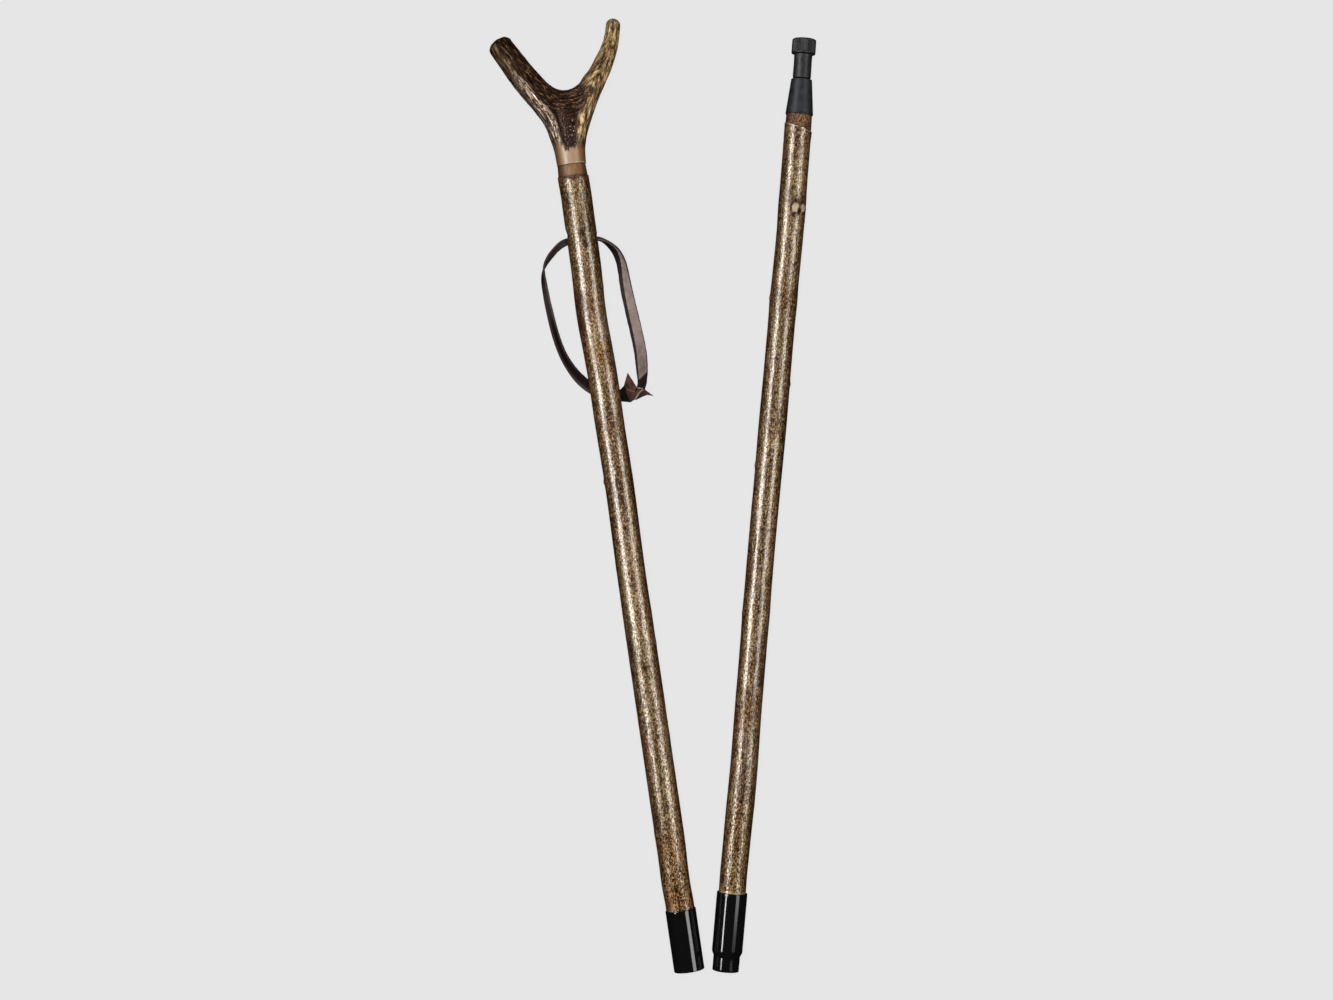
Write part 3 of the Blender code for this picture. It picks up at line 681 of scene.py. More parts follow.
    # deep places are more golden, with their low parts nearly black
    colour = mix(
        tree, attribute(tree, "deep"), colour, mix(tree, 1.0, colour, (0.98, 0.82, 0.60), "MULTIPLY")
    )
    low = sums(
        tree,
        "MULTIPLY",
        attribute(tree, "deep"),
        step_of(tree, share, 0.34, 0.72, 1.0, 0.0),
    )
    colour = mix(tree, low, colour, mix(tree, 1.0, colour, (0.50, 0.44, 0.34), "MULTIPLY"))
    fleck = grain(tree, stretched(tree, at, (1.0, 1.0, 0.34)), 640.0, 2.0, 0.6)
    fleck = sums(tree, "MULTIPLY", step_of(tree, fleck, 0.55, 0.62, 0.0, 0.75), attribute(tree, "deep"))
    colour = mix(tree, fleck, colour, (0.40, 0.225, 0.072))
    dark = sums(
        tree, "MULTIPLY", attribute(tree, "dark"), sums(tree, "SUBTRACT", 1.0, cut)
    )
    colour = mix(tree, dark, colour, (0.016, 0.006, 0.004))
    pale = attribute(tree, "pale")
    colour = mix(tree, pale, colour, (0.62, 0.50, 0.33))
    put(tree, shader.inputs["Base Color"], colour)
    dull = sums(tree, "MAXIMUM", bare, sums(tree, "MULTIPLY", warm, 0.75))
    rough = sums(
        tree,
        "ADD",
        step_of(tree, mottle, 0.35, 0.65, 0.28, 0.36),
        sums(tree, "MULTIPLY", dull, 0.18),
    )
    put(tree, shader.inputs["Roughness"], rough)
    shader.inputs["IOR"].default_value = 1.75
    shader.inputs["Specular Tint"].default_value = (1.0, 0.90, 0.74, 1.0)
    # the varnish has sunk into the dark pits, and is rubbed off in places
    varnish = step_of(tree, share, 0.08, 0.54, 0.22, 1.0)
    varnish = sums(
        tree, "MULTIPLY", varnish, sums(tree, "SUBTRACT", 1.0, sums(tree, "MULTIPLY", low, 0.8))
    )
    dull = sums(tree, "MAXIMUM", dull, callus)
    dull = sums(tree, "MAXIMUM", dull, sums(tree, "MULTIPLY", matt, 0.8))
    varnish = sums(
        tree, "MULTIPLY", varnish, sums(tree, "SUBTRACT", 1.0, sums(tree, "MULTIPLY", dull, 0.8))
    )
    varnish = sums(
        tree, "MULTIPLY", varnish, sums(tree, "SUBTRACT", 1.0, sums(tree, "MULTIPLY", dark, 0.85))
    )
    # the top layer of varnish lies only on the smooth light parts, but nearly all over where
    # the stick is handled most
    even = attribute(tree, "even")
    put(
        tree,
        shader.inputs["Specular IOR Level"],
        sums(tree, "MULTIPLY", varnish, step_of(tree, even, 0.0, 1.0, 0.85, 0.50)),
    )
    smooth = sums(
        tree,
        "MAXIMUM",
        sums(tree, "MULTIPLY", varnish, step_of(tree, share, 0.28, 0.70, 0.0, 0.52)),
        sums(
            tree,
            "MULTIPLY",
            sums(tree, "MULTIPLY", even, 0.74),
            sums(tree, "SUBTRACT", 1.0, sums(tree, "MAXIMUM", dull, dark)),
        ),
    )
    put(tree, shader.inputs["Coat Weight"], smooth)
    shader.inputs["Coat Roughness"].default_value = 0.165
    height = sums(tree, "MULTIPLY", speck, 1.0)
    height = sums(tree, "ADD", height, sums(tree, "MULTIPLY", mottle, 1.2))
    height = sums(tree, "ADD", height, sums(tree, "MULTIPLY", flake, -0.3))
    put(tree, shader.inputs["Normal"], bump_of(tree, height, 0.5, 0.00035))
    filled = sums(tree, "MULTIPLY", height, step_of(tree, even, 0.0, 1.0, 1.0, 0.55))
    put(tree, shader.inputs["Coat Normal"], bump_of(tree, filled, 0.28, 0.00024))
    return material


def collar_finish():
    material, tree, shader = tree_of("stained_collar_wood")
    at = attribute(tree, "stick", "Vector")
    fibre = grain(tree, stretched(tree, at, (1.0, 1.0, 0.07)), 900.0, 4.0, 0.6)
    broad = grain(tree, stretched(tree, at, (1.0, 1.0, 0.2)), 190.0, 2.0)
    colour = ramp_of(
        tree,
        sums(tree, "ADD", sums(tree, "MULTIPLY", fibre, 0.55), sums(tree, "MULTIPLY", broad, 0.45)),
        [
            (0.36, (0.118, 0.056, 0.022)),
            (0.5, (0.240, 0.126, 0.056)),
            (0.64, (0.35, 0.203, 0.101)),
        ],
    )
    across = node(tree, "ShaderNodeSeparateXYZ", {"Vector": at}).outputs["Y"]
    # lighter and greyer left of the middle and darker at both sides, as seen from above: a painted highlight and
    # painted shade across the collar
    side = ramp_of(
        tree,
        step_of(tree, across, -0.014, 0.014),
        [
            (0.02, (0.40, 0.30, 0.30)),
            (0.20, (0.78, 0.66, 0.62)),
            (0.42, (1.10, 1.14, 1.12)),
            (0.70, (1.08, 1.0, 0.84)),
            (0.98, (0.55, 0.42, 0.36)),
        ],
    )
    colour = mix(tree, 1.0, colour, side, "MULTIPLY")
    edge = attribute(tree, "worn")
    colour = mix(tree, edge, colour, (0.014, 0.006, 0.003))
    put(tree, shader.inputs["Base Color"], colour)
    shader.inputs["Specular IOR Level"].default_value = 0.22
    shader.inputs["Roughness"].default_value = 0.55
    put(tree, shader.inputs["Normal"], bump_of(tree, fibre, 0.4, 0.00018))
    return material


def antler_finish():
    material, tree, shader = tree_of("polished_antler")
    flow = attribute(tree, "flow", "Vector")
    at = node(tree, "ShaderNodeTexCoord").outputs["Object"]
    line = grain(tree, stretched(tree, flow, (1.0, 1.0, 0.16)), 620.0, 3.0, 0.62)
    fine = grain(tree, stretched(tree, flow, (1.0, 1.0, 0.22)), 1300.0, 3.0, 0.6)
    broad = grain(tree, stretched(tree, flow, (1.0, 1.0, 0.25)), 150.0, 2.0)
    speck = grain(tree, at, 700.0, 3.0, 0.65)
    streak = sums(tree, "ADD", sums(tree, "MULTIPLY", line, 0.62), sums(tree, "MULTIPLY", fine, 0.38))
    # fine cracks: where a drawn-out noise crosses its middle value
    split = grain(tree, stretched(tree, flow, (1.0, 1.0, 0.17)), 330.0, 2.0, 0.55, 0.25)
    off = sums(tree, "ABSOLUTE", sums(tree, "SUBTRACT", split, 0.5), 0.0)
    split = step_of(tree, off, 0.030, 0.080, 1.0, 0.0)
    broken = grain(tree, stretched(tree, flow, (1.0, 1.0, 0.4)), 260.0, 2.0)
    split = sums(tree, "MULTIPLY", split, step_of(tree, broken, 0.36, 0.46))
    hair = grain(tree, stretched(tree, flow, (1.0, 1.0, 0.10)), 560.0, 2.0, 0.6, 0.2)
    split = sums(tree, "MAXIMUM", split, step_of(tree, hair, 0.56, 0.61))
    web = attribute(tree, "web")
    neck = attribute(tree, "neck")
    colour = ramp_of(
        tree,
        sums(tree, "ADD", sums(tree, "MULTIPLY", streak, 0.7), sums(tree, "MULTIPLY", speck, 0.3)),
        [
            (0.38, (0.008, 0.003, 0.002)),
            (0.48, (0.026, 0.0105, 0.0055)),
            (0.58, (0.075, 0.034, 0.017)),
            (0.70, (0.22, 0.13, 0.06)),
        ],
    )
    mid = attribute(tree, "mid")
    brown = mix(tree, step_of(tree, streak, 0.40, 0.62), (0.035, 0.016, 0.007), (0.24, 0.145, 0.065))
    colour = mix(tree, mid, colour, brown)
    gold = attribute(tree, "gold")
    wide = grain(tree, stretched(tree, flow, (1.0, 1.0, 0.15)), 400.0, 2.0, 0.55, 0.15)
    wide = sums(tree, "ADD", sums(tree, "MULTIPLY", wide, 0.62), sums(tree, "MULTIPLY", streak, 0.38))
    golden = ramp_of(
        tree,
        wide,
        [
            (0.41, (0.045, 0.018, 0.006)),
            (0.457, (0.30, 0.158, 0.046)),
            (0.512, (0.62, 0.375, 0.125)),
            (0.575, (0.95, 0.71, 0.38)),
        ],
    )
    colour = mix(tree, gold, colour, golden)
    grey = attribute(tree, "grey")
    colour = mix(tree, grey, colour, mix(tree, step_of(tree, streak, 0.40, 0.62), (0.10, 0.07, 0.04), (0.38, 0.31, 0.20)))
    pale = attribute(tree, "ridge")
    ridge = ramp_of(
        tree,
        wide,
        [
            (0.425, (0.030, 0.012, 0.006)),
            (0.466, (0.27, 0.140, 0.068)),
            (0.515, (0.66, 0.44, 0.27)),
            (0.57, (0.95, 0.82, 0.66)),
        ],
    )
    # the thick arm's ridge gets browner towards its end
    station = node(
        tree, "ShaderNodeSeparateXYZ", {"Vector": attribute(tree, "across", "Vector")}
    ).outputs["Z"]
    place = node(
        tree, "ShaderNodeSeparateXYZ", {"Vector": attribute(tree, "across", "Vector")}
    ).outputs["X"]
    outer = sums(
        tree,
        "MULTIPLY",
        step_of(tree, station, 0.842, 0.872),
        step_of(tree, place, -0.024, -0.016, 1.0, 0.0),
    )
    ridge = mix(
        tree, sums(tree, "MULTIPLY", outer, 0.9), ridge, mix(tree, 1.0, ridge, (0.46, 0.36, 0.27), "MULTIPLY")
    )
    colour = mix(tree, pale, colour, ridge)
    # the thick arm's end: dark, with thin golden lines
    arm_end = attribute(tree, "armend")
    thin = grain(tree, stretched(tree, flow, (1.0, 1.0, 0.07)), 560.0, 2.0, 0.5)
    end_colour = ramp_of(
        tree,
        thin,
        [
            (0.44, (0.010, 0.0042, 0.0025)),
            (0.52, (0.050, 0.022, 0.011)),
            (0.60, (0.30, 0.185, 0.090)),
            (0.68, (0.46, 0.31, 0.17)),
        ],
    )
    colour = mix(tree, sums(tree, "MULTIPLY", arm_end, 0.85), colour, end_colour)
    colour = mix(
        tree, sums(tree, "MULTIPLY", outer, 0.6), colour, mix(tree, 1.0, colour, (0.50, 0.45, 0.42), "MULTIPLY")
    )
    # the web: almost black, with rust-brown lines along the fork's inner edge
    web_flow = attribute(tree, "webflow", "Vector")
    web_line = grain(tree, stretched(tree, web_flow, (1.0, 1.0, 0.26)), 560.0, 3.0, 0.66)
    # lower down the lines break up into short strokes
    low_web = step_of(tree, station, 0.802, 0.828, 1.0, 0.0)
    strokes = grain(tree, stretched(tree, flow, (1.0, 1.0, 0.5)), 640.0, 3.0, 0.7)
    web_line = sums(
        tree,
        "ADD",
        sums(tree, "MULTIPLY", web_line, sums(tree, "SUBTRACT", 1.0, low_web)),
        sums(tree, "MULTIPLY", strokes, low_web),
    )
    rust = ramp_of(
        tree,
        sums(tree, "ADD", sums(tree, "MULTIPLY", web_line, 0.72), sums(tree, "MULTIPLY", speck, 0.28)),
        [
            (0.42, (0.004, 0.0016, 0.0013)),
            (0.49, (0.018, 0.0068, 0.0042)),
            (0.545, (0.085, 0.037, 0.018)),
            (0.61, (0.30, 0.170, 0.088)),
        ],
    )
    rust = mix(
        tree, sums(tree, "MULTIPLY", low_web, 0.9), rust, mix(tree, 1.0, rust, (0.50, 0.44, 0.44), "MULTIPLY")
    )
    pearl = attribute(tree, "pearl")
    pits = mix(tree, step_of(tree, strokes, 0.46, 0.58), (0.005, 0.0020, 0.0018), (0.066, 0.031, 0.026))
    rust = mix(tree, sums(tree, "MULTIPLY", pearl, 0.85), rust, pits)
    # pale spots on the pearls' tops are painted glints
    glint = sums(tree, "MULTIPLY", step_of(tree, pearl, 0.30, 0.55), step_of(tree, speck, 0.54, 0.60))
    rust = mix(tree, glint, rust, (0.66, 0.54, 0.51))
    colour = mix(tree, web, colour, rust)
    # the neck's tan across the stick: the pale grey-white band left of the middle is a painted highlight and the darker
    # sides are painted shade
    tan = ramp_of(
        tree,
        step_of(tree, place, -0.014, 0.0145),
        [
            (0.02, (0.22, 0.12, 0.06)),
            (0.14, (0.44, 0.27, 0.155)),
            (0.27, (0.58, 0.45, 0.33)),
            (0.40, (0.47, 0.33, 0.22)),
            (0.62, (0.44, 0.295, 0.175)),
            (0.84, (0.40, 0.24, 0.12)),
            (0.97, (0.24, 0.125, 0.06)),
        ],
    )
    tan = mix(tree, 1.0, tan, mix(tree, broad, (0.82, 0.80, 0.78), (1.06, 1.06, 1.06)), "MULTIPLY")
    foot = sums(tree, "MULTIPLY", step_of(tree, station, 0.7724, 0.7734, 0.4, 0.0), step_of(tree, place, -0.004, 0.003))
    tan = mix(tree, foot, tan, (0.72, 0.57, 0.42))
    colour = mix(tree, neck, colour, tan)
    crack = attribute(tree, "crack")
    open_crack = sums(
        tree,
        "MULTIPLY",
        sums(tree, "MULTIPLY", split, sums(tree, "SUBTRACT", 1.0, sums(tree, "MULTIPLY", gold, 0.3))),
        sums(tree, "MULTIPLY", sums(tree, "SUBTRACT", 1.0, neck), sums(tree, "SUBTRACT", 1.0, sums(tree, "MULTIPLY", web, 0.6))),
    )
    crack = sums(tree, "MAXIMUM", crack, sums(tree, "MULTIPLY", open_crack, 0.95))
    colour = mix(tree, crack, colour, (0.014, 0.006, 0.003))
    put(tree, shader.inputs["Base Color"], colour)
    rough = sums(tree, "ADD", sums(tree, "MULTIPLY", neck, 0.04), step_of(tree, line, 0.3, 0.7, 0.30, 0.40))
    rough = sums(tree, "ADD", rough, sums(tree, "MULTIPLY", crack, 0.3))
    put(tree, shader.inputs["Roughness"], rough)
    shader.inputs["Specular Tint"].default_value = (1.0, 0.86, 0.72, 1.0)
    covered = sums(tree, "MAXIMUM", web, sums(tree, "MULTIPLY", arm_end, 0.9))
    shine = sums(tree, "MULTIPLY", sums(tree, "SUBTRACT", 1.0, sums(tree, "MULTIPLY", covered, 0.85)), 0.22)
    # the arms' upper halves are duller
    shine = sums(tree, "MULTIPLY", shine, step_of(tree, station, 0.832, 0.862, 1.0, 0.3))
    shine = sums(tree, "ADD", shine, sums(tree, "MULTIPLY", sums(tree, "MULTIPLY", pearl, step_of(tree, speck, 0.52, 0.59)), 1.0))
    shine = sums(tree, "SUBTRACT", shine, sums(tree, "MULTIPLY", neck, 0.18))
    put(tree, shader.inputs["Coat Weight"], sums(tree, "MULTIPLY", shine, sums(tree, "SUBTRACT", 1.0, crack)))
    spec = step_of(tree, sums(tree, "MAXIMUM", covered, sums(tree, "MULTIPLY", neck, 0.6)), 0.0, 1.0, 0.5, 0.10)
    spec = sums(tree, "MULTIPLY", spec, sums(tree, "SUBTRACT", 1.0, sums(tree, "MULTIPLY", crack, 0.8)))
    spec = sums(tree, "MULTIPLY", spec, sums(tree, "SUBTRACT", 1.0, sums(tree, "MULTIPLY", outer, 0.65)))
    put(tree, shader.inputs["Specular IOR Level"], spec)
    put(tree, shader.inputs["Coat Roughness"], step_of(tree, neck, 0.0, 1.0, 0.14, 0.2))
    height = sums(tree, "ADD", sums(tree, "MULTIPLY", line, 1.0), sums(tree, "MULTIPLY", fine, 0.5))
    height = sums(tree, "MULTIPLY", height, sums(tree, "SUBTRACT", 1.0, web))
    height = sums(tree, "ADD", height, sums(tree, "MULTIPLY", open_crack, -1.2))
    height = sums(tree, "ADD", height, sums(tree, "MULTIPLY", sums(tree, "MULTIPLY", web_line, web), 1.1))
    height = sums(tree, "ADD", height, sums(tree, "MULTIPLY", sums(tree, "MULTIPLY", speck, web), 0.3))
    height = sums(tree, "MULTIPLY", height, sums(tree, "SUBTRACT", 1.0, sums(tree, "MULTIPLY", neck, 0.9)))
    put(tree, shader.inputs["Normal"], bump_of(tree, height, 0.6, 0.0005))
    return material


def leather_finish(name, base, dark, roughness, pebble, fuzz=0.0):
    material, tree, shader = tree_of(name)
    at = attribute(tree, "hide", "Vector")
    cloud = grain(tree, at, 130.0, 3.0, 0.6)
    if pebble:
        cell = cells(tree, at, 1500.0, "F1")
        fine = grain(tree, at, 900.0, 3.0, 0.6)
        height = sums(tree, "ADD", sums(tree, "MULTIPLY", cell, -0.8), sums(tree, "MULTIPLY", fine, 0.8))
        colour = mix(tree, step_of(tree, sums(tree, "ADD", sums(tree, "MULTIPLY", cloud, 0.7), sums(tree, "MULTIPLY", fine, 0.3)), 0.38, 0.64), dark, base)
    else:
        fine = grain(tree, stretched(tree, at, (1.0, 0.35, 1.0)), 1700.0, 4.0, 0.75)
        nap = grain(tree, stretched(tree, at, (1.0, 0.5, 1.0)), 420.0, 3.0, 0.6)
        height = sums(tree, "ADD", fine, nap)
        colour = mix(tree, step_of(tree, sums(tree, "ADD", sums(tree, "MULTIPLY", cloud, 0.4), sums(tree, "MULTIPLY", sums(tree, "ADD", fine, nap), 0.3)), 0.36, 0.62), dark, base)
    soil = attribute(tree, "soil")
    colour = mix(tree, soil, colour, mix(tree, step_of(tree, fine, 0.4, 0.6), (0.005, 0.0028, 0.0025), (0.016, 0.0072, 0.0054)))
    rub = attribute(tree, "rub")
    colour = mix(tree, rub, colour, mix(tree, step_of(tree, fine, 0.38, 0.62), (0.040, 0.024, 0.021), (0.110, 0.074, 0.066)))
    put(tree, shader.inputs["Base Color"], colour)
    put(tree, shader.inputs["Roughness"], step_of(tree, fine, 0.3, 0.7, roughness - 0.06, roughness + 0.08))
    if pebble:
        # dull where the leather is soiled and where shade is painted
        put(
            tree,
            shader.inputs["Specular IOR Level"],
            step_of(tree, sums(tree, "SUBTRACT", soil, rub), 0.0, 1.0, 0.16, 0.04),
        )
    if fuzz:
        nap_left = sums(tree, "SUBTRACT", 1.0, soil)
        put(tree, shader.inputs["Specular IOR Level"], sums(tree, "MULTIPLY_ADD", nap_left, 0.15, 0.10))
        put(
            tree,
            shader.inputs["Sheen Weight"],
            sums(tree, "MULTIPLY", nap_left, fuzz),
        )
        shader.inputs["Sheen Roughness"].default_value = 0.5
        shader.inputs["Sheen Tint"].default_value = (0.75, 0.62, 0.56, 1.0)
    put(tree, shader.inputs["Normal"], bump_of(tree, height, 0.5, 0.0002))
    return material


BLACK_PAINT = black_gloss()
CONE_PAINT = cone_finish()
RUBBER = rubber_finish()
STEEL = metal_finish("zinc_steel", (0.52, 0.52, 0.53), (0.20, 0.19, 0.18), 0.32)
BRASS = metal_finish("brass", (0.60, 0.43, 0.17), (0.28, 0.19, 0.08), 0.3)
CAD_STEEL = cad_metal_finish("hidden_steel", (0.5, 0.5, 0.51), (0.2, 0.19, 0.18), 0.35)
COLLAR_WOOD = collar_finish()
ANTLER = antler_finish()
# fibres dark and light, their broken parts, the gaps between and how many of those
UPPER_BARK = bark_finish(
    "upper_hazel_bark",
    1.0,
    ((0.05, 0.022, 0.010), (0.15, 0.08, 0.04), (0.24, 0.14, 0.07), (0.015, 0.007, 0.004), 0.7),
)
LOWER_BARK = bark_finish(
    "lower_hazel_bark",
    2.0,
    ((0.028, 0.009, 0.005), (0.105, 0.038, 0.015), (0.38, 0.20, 0.075), (0.010, 0.0035, 0.003), 0.9),
)
GRAIN_SIDE = leather_finish(
    "leather_grain_side", (0.013, 0.0075, 0.0062), (0.005, 0.0028, 0.0024), 0.60, True
)
FLESH_SIDE = leather_finish(
    "leather_flesh_side", (0.37, 0.275, 0.24), (0.215, 0.155, 0.13), 0.9, False, 0.35
)
BROWN_SUEDE = leather_finish(
    "leather_brown_suede", (0.125, 0.042, 0.022), (0.014, 0.005, 0.0035), 0.85, False, 0.06
)
DARK_SUEDE = leather_finish(
    "leather_dark_suede", (0.070, 0.028, 0.018), (0.008, 0.0035, 0.003), 0.85, False, 0.05
)
DARK_EDGE = leather_finish(
    "leather_dyed_edge", (0.030, 0.020, 0.017), (0.008, 0.006, 0.005), 0.75, False
)
DARK_EDGE.node_tree.nodes["Principled BSDF"].inputs["Specular IOR Level"].default_value = 0.3
BROWN_EDGE = leather_finish(
    "leather_brown_edge", (0.20, 0.12, 0.095), (0.075, 0.040, 0.030), 0.8, False, 0.1
)
PALE_EDGE = leather_finish(
    "leather_pale_edge", (0.36, 0.28, 0.22), (0.15, 0.10, 0.08), 0.8, False, 0.1
)

# ------------------------------------------------------------------ hazel shanks


def upper_form(z):
    radius = 13.62 + 1.1 * np.clip((z - 380.0) / 375.0, 0.0, None) ** 1.25
    radius = radius + 0.38 * ramp(z, 95, 135) * (1 - ramp(z, 330, 380))
    across = (
        -1.7 * bump(z, 630, 34)
        + 1.05 * bump(z, 465, 52)
        + 0.4 * bump(z, 560, 26)
        + 0.7 * bump(z, 757, 24)
        - 0.75 * bump(z, 84, 24)
    )
    up = 0.4 * bump(z, 300, 90) + 0.3 * bump(z, 560, 60)
    return radius, across, up


def lower_form(z):
    radius = (
        12.88
        + 0.42 * bump(z, 727, 15)
        + 0.35 * bump(z, 638, 14)
        + 0.42 * bump(z, 522, 42)
        + 0.28 * bump(z, 342, 16)
        + 0.42 * bump(z, 157, 46)
        - 0.45 * ramp(z, 792, 812)
    )
    across = (
        0.7 * bump(z, 705, 36)
        - 0.55 * bump(z, 400, 75)
        + 0.8 * bump(z, 190, 46)
        - 0.4 * bump(z, 84, 20)
    )
    up = 0.4 * bump(z, 250, 80) - 0.4 * bump(z, 590, 90)
    return radius, across, up


BARK_STEP, BARK_COLS = 1.2, 100
MASKS = (
    "dark",
    "pink",
    "dot",
    "cut",
    "callus",
    "bare",
    "pale",
    "warm",
    "light",
    "matt",
    "deep",
    "even",
)


def oval(z, arc, at_z, at_arc, half_z, half_arc, girth):
    """Distance from a mark's centre, 1 at its rim. arc is the way round, in mm."""
    d = (arc - at_arc + girth / 2) % girth - girth / 2
    return np.sqrt(((z - at_z) / half_z) ** 2 + (d / half_arc) ** 2)


def bark_surface(z, angle, form_of, start, end, marks, seed, lip):
    """Radius, wander and masks of the barked part, for arrays of stations and angles."""
    radius, across, up = form_of(z)
    fade = ramp(z, start, start + 25) * (1 - ramp(z, end - 25, end))
    arc = angle * 13.4
    girth = TAU * 13.4
    round_at = np.stack([13.4 * np.cos(angle), 13.4 * np.sin(angle), z], axis=-1)
    masks = {key: np.zeros_like(z) for key in MASKS}
    relief = 0.13 * rough_noise(round_at, (9, 9, 42), seed, 3)
    relief += 0.05 * rough_noise(round_at, (2.6, 2.6, 6.5), seed + 5, 2)
    relief += 0.03 * smooth_noise(round_at, (1.3, 1.3, 1.7), seed + 9)
    # fine lengthwise cracks
    crack = np.clip(rough_noise(round_at, (1.6, 1.6, 24), seed + 23, 2) - 0.42, 0, 1)
    relief -= 0.3 * crack
    masks["dark"] += np.clip(crack * 1.6, 0, 0.5)
    masks["light"] += rough_noise(round_at, (14, 14, 60), seed + 31, 3)
    # lenticels: small pale raised dots
    random = np.random.default_rng(seed)
    count = int((end - start) * 0.55)
    for at_z, turn, size in zip(
        random.uniform(start + 4, end - 4, count),
        random.uniform(0, TAU, count),
        random.uniform(0.45, 0.95, count),
    ):
        near = np.abs(z[:, 0] - at_z) < 4
        d = oval(z[near], arc[near], at_z, turn * 13.4, 0.75 * size, 1.15 * size, girth)
        hump = np.exp(-(d**2))
        relief[near] += 0.20 * hump * size
        masks["dot"][near] = np.maximum(masks["dot"][near], 0.55 * hump)
    for mark in marks:
        kind, at_z, at_across = mark[:3]
        size = mark[3] if len(mark) > 3 else 1.0
        r, wander = (float(v) for v in form_of(np.array(at_z))[:2])
        side = max(-0.999, min(0.999, (at_across - wander) / r))
        turn = math.asin(side)
        if len(mark) > 4 and mark[4] is not None:
            turn = math.radians(mark[4])
        at_arc = turn * 13.4
        near = np.abs(z[:, 0] - at_z) < 22 * max(size, 1.0)
        zz, aa = z[near], arc[near]
        if kind == "bud":
            # a small knob over a leaf scar, with a crease under it
            d = oval(zz, aa, at_z, at_arc, 3.4 * size, 3.0 * size, girth)
            relief[near] += 0.75 * size * np.exp(-(d**2))
            low = oval(zz, aa, at_z - 3.6 * size, at_arc, 1.1 * size, 4.6 * size, girth)
            relief[near] -= 0.35 * size * np.exp(-(low**2))
            masks["dark"][near] = np.maximum(
                masks["dark"][near], 0.85 * np.exp(-(low**2))
            )
            masks["pink"][near] = np.maximum(
                masks["pink"][near], 0.5 * np.exp(-((d * 1.1) ** 2))
            )
            wide = oval(zz, aa, at_z - 1.0, at_arc, 5.0 * size, 11.0 * size, girth)
            relief[near] += 0.30 * size * np.exp(-(wide**2))
        elif kind == "scar":
            # a leaf scar: a dark line part of the way round, over a pale one
            low = oval(zz, aa, at_z, at_arc, 1.3 * size, 7.5 * size, girth)
            masks["dark"][near] = np.maximum(
                masks["dark"][near], 0.8 * np.exp(-(low**2))
            )
            relief[near] -= 0.28 * np.exp(-(low**2))
            over = oval(zz, aa, at_z - 3.2 * size, at_arc, 2.6 * size, 6.0 * size, girth)
            relief[near] += 0.32 * size * np.exp(-(over**2))
            masks["pink"][near] = np.maximum(
                masks["pink"][near], 0.55 * np.exp(-(over**2))
            )
        elif kind == "blotch":
            d = oval(zz, aa, at_z, at_arc, 4.5 * size, 2.6 * size, girth)
            ragged = rough_noise(round_at[near], (2.2, 2.2, 3.5), seed + 3, 3)
            masks["dark"][near] = np.maximum(
                masks["dark"][near], np.clip(1.35 - d * (1.0 + 0.5 * ragged), 0, 0.8)
            )
        elif kind == "smear":
            d = oval(zz, aa, at_z, at_arc, 9.0 * size, 3.6 * size, girth)
            masks["pink"][near] = np.maximum(
                masks["pink"][near], 0.45 * np.exp(-(d**2))
            )
        elif kind == "shade":
            d = oval(zz, aa, at_z, at_arc, 11.0 * size, 5.0 * size, girth)
            ragged = rough_noise(round_at[near], (3, 3, 9), seed + 13, 3)
            masks["dark"][near] = np.maximum(
                masks["dark"][near], np.clip(1.2 - d * (1 + 0.5 * ragged), 0, 0.55)
            )
        elif kind == "pore":
            d = oval(zz, aa, at_z, at_arc, 1.3 * size, 1.3 * size, girth)
            relief[near] += 0.3 * np.exp(-((d - 1) ** 2) * 4) - 0.4 * np.exp(-(d**2) * 3)
            masks["dark"][near] = np.maximum(
                masks["dark"][near], 0.9 * np.exp(-(d**2) * 1.8)
            )
            masks["dot"][near] = np.maximum(
                masks["dot"][near], 0.6 * np.exp(-((d - 1.4) ** 2) * 5)
            )
        elif kind == "warm":
            d = oval(zz, aa, at_z, at_arc, 26.0 * size, 16.0 * size, girth)
            masks["warm"][near] = np.maximum(masks["warm"][near], np.exp(-(d**2)))
        elif kind == "stub":
            # a side shoot cut off flush: a flat pale disc in a rim of callus
            half_z, half_arc = mark[5], mark[6]
            d = oval(zz, aa, at_z, at_arc, half_z, half_arc, girth)
            uneven = smooth_noise(round_at[near], (2.6, 2.6, 3.2), seed + 41)
            d = d * (1 + 0.16 * uneven)
            flat = 1 - ramp(d, 0.86, 1.02)
            rim = np.exp(-(((d - 1.22) / 0.2) ** 2))
            relief[near] = relief[near] * (1 - flat) + (0.85 + 0.25 * uneven) * flat
            relief[near] += 0.75 * rim * (1 - flat)
            groove = np.exp(-(((d - 1.0) / 0.07) ** 2))
            relief[near] -= 0.35 * groove
            masks["cut"][near] = np.maximum(
                masks["cut"][near], flat * (0.86 + 0.14 * uneven)
            )
            masks["callus"][near] = np.maximum(
                masks["callus"][near],
                0.92 * np.exp(-(np.clip(d - 1.25, 0, None) / 0.55) ** 2),
            )
            # a dark line round the disc's edge, and painted shade at the outer foot of the callus rim
            masks["dark"][near] = np.maximum(
                masks["dark"][near] * (1 - flat),
                0.9 * groove + 0.45 * np.exp(-(((d - 1.4) / 0.3) ** 2)),
            )
            masks["dark"][near] = np.clip(masks["dark"][near] - flat, 0, 1)
            masks["dot"][near] *= 1 - flat
        elif kind == "cleft":
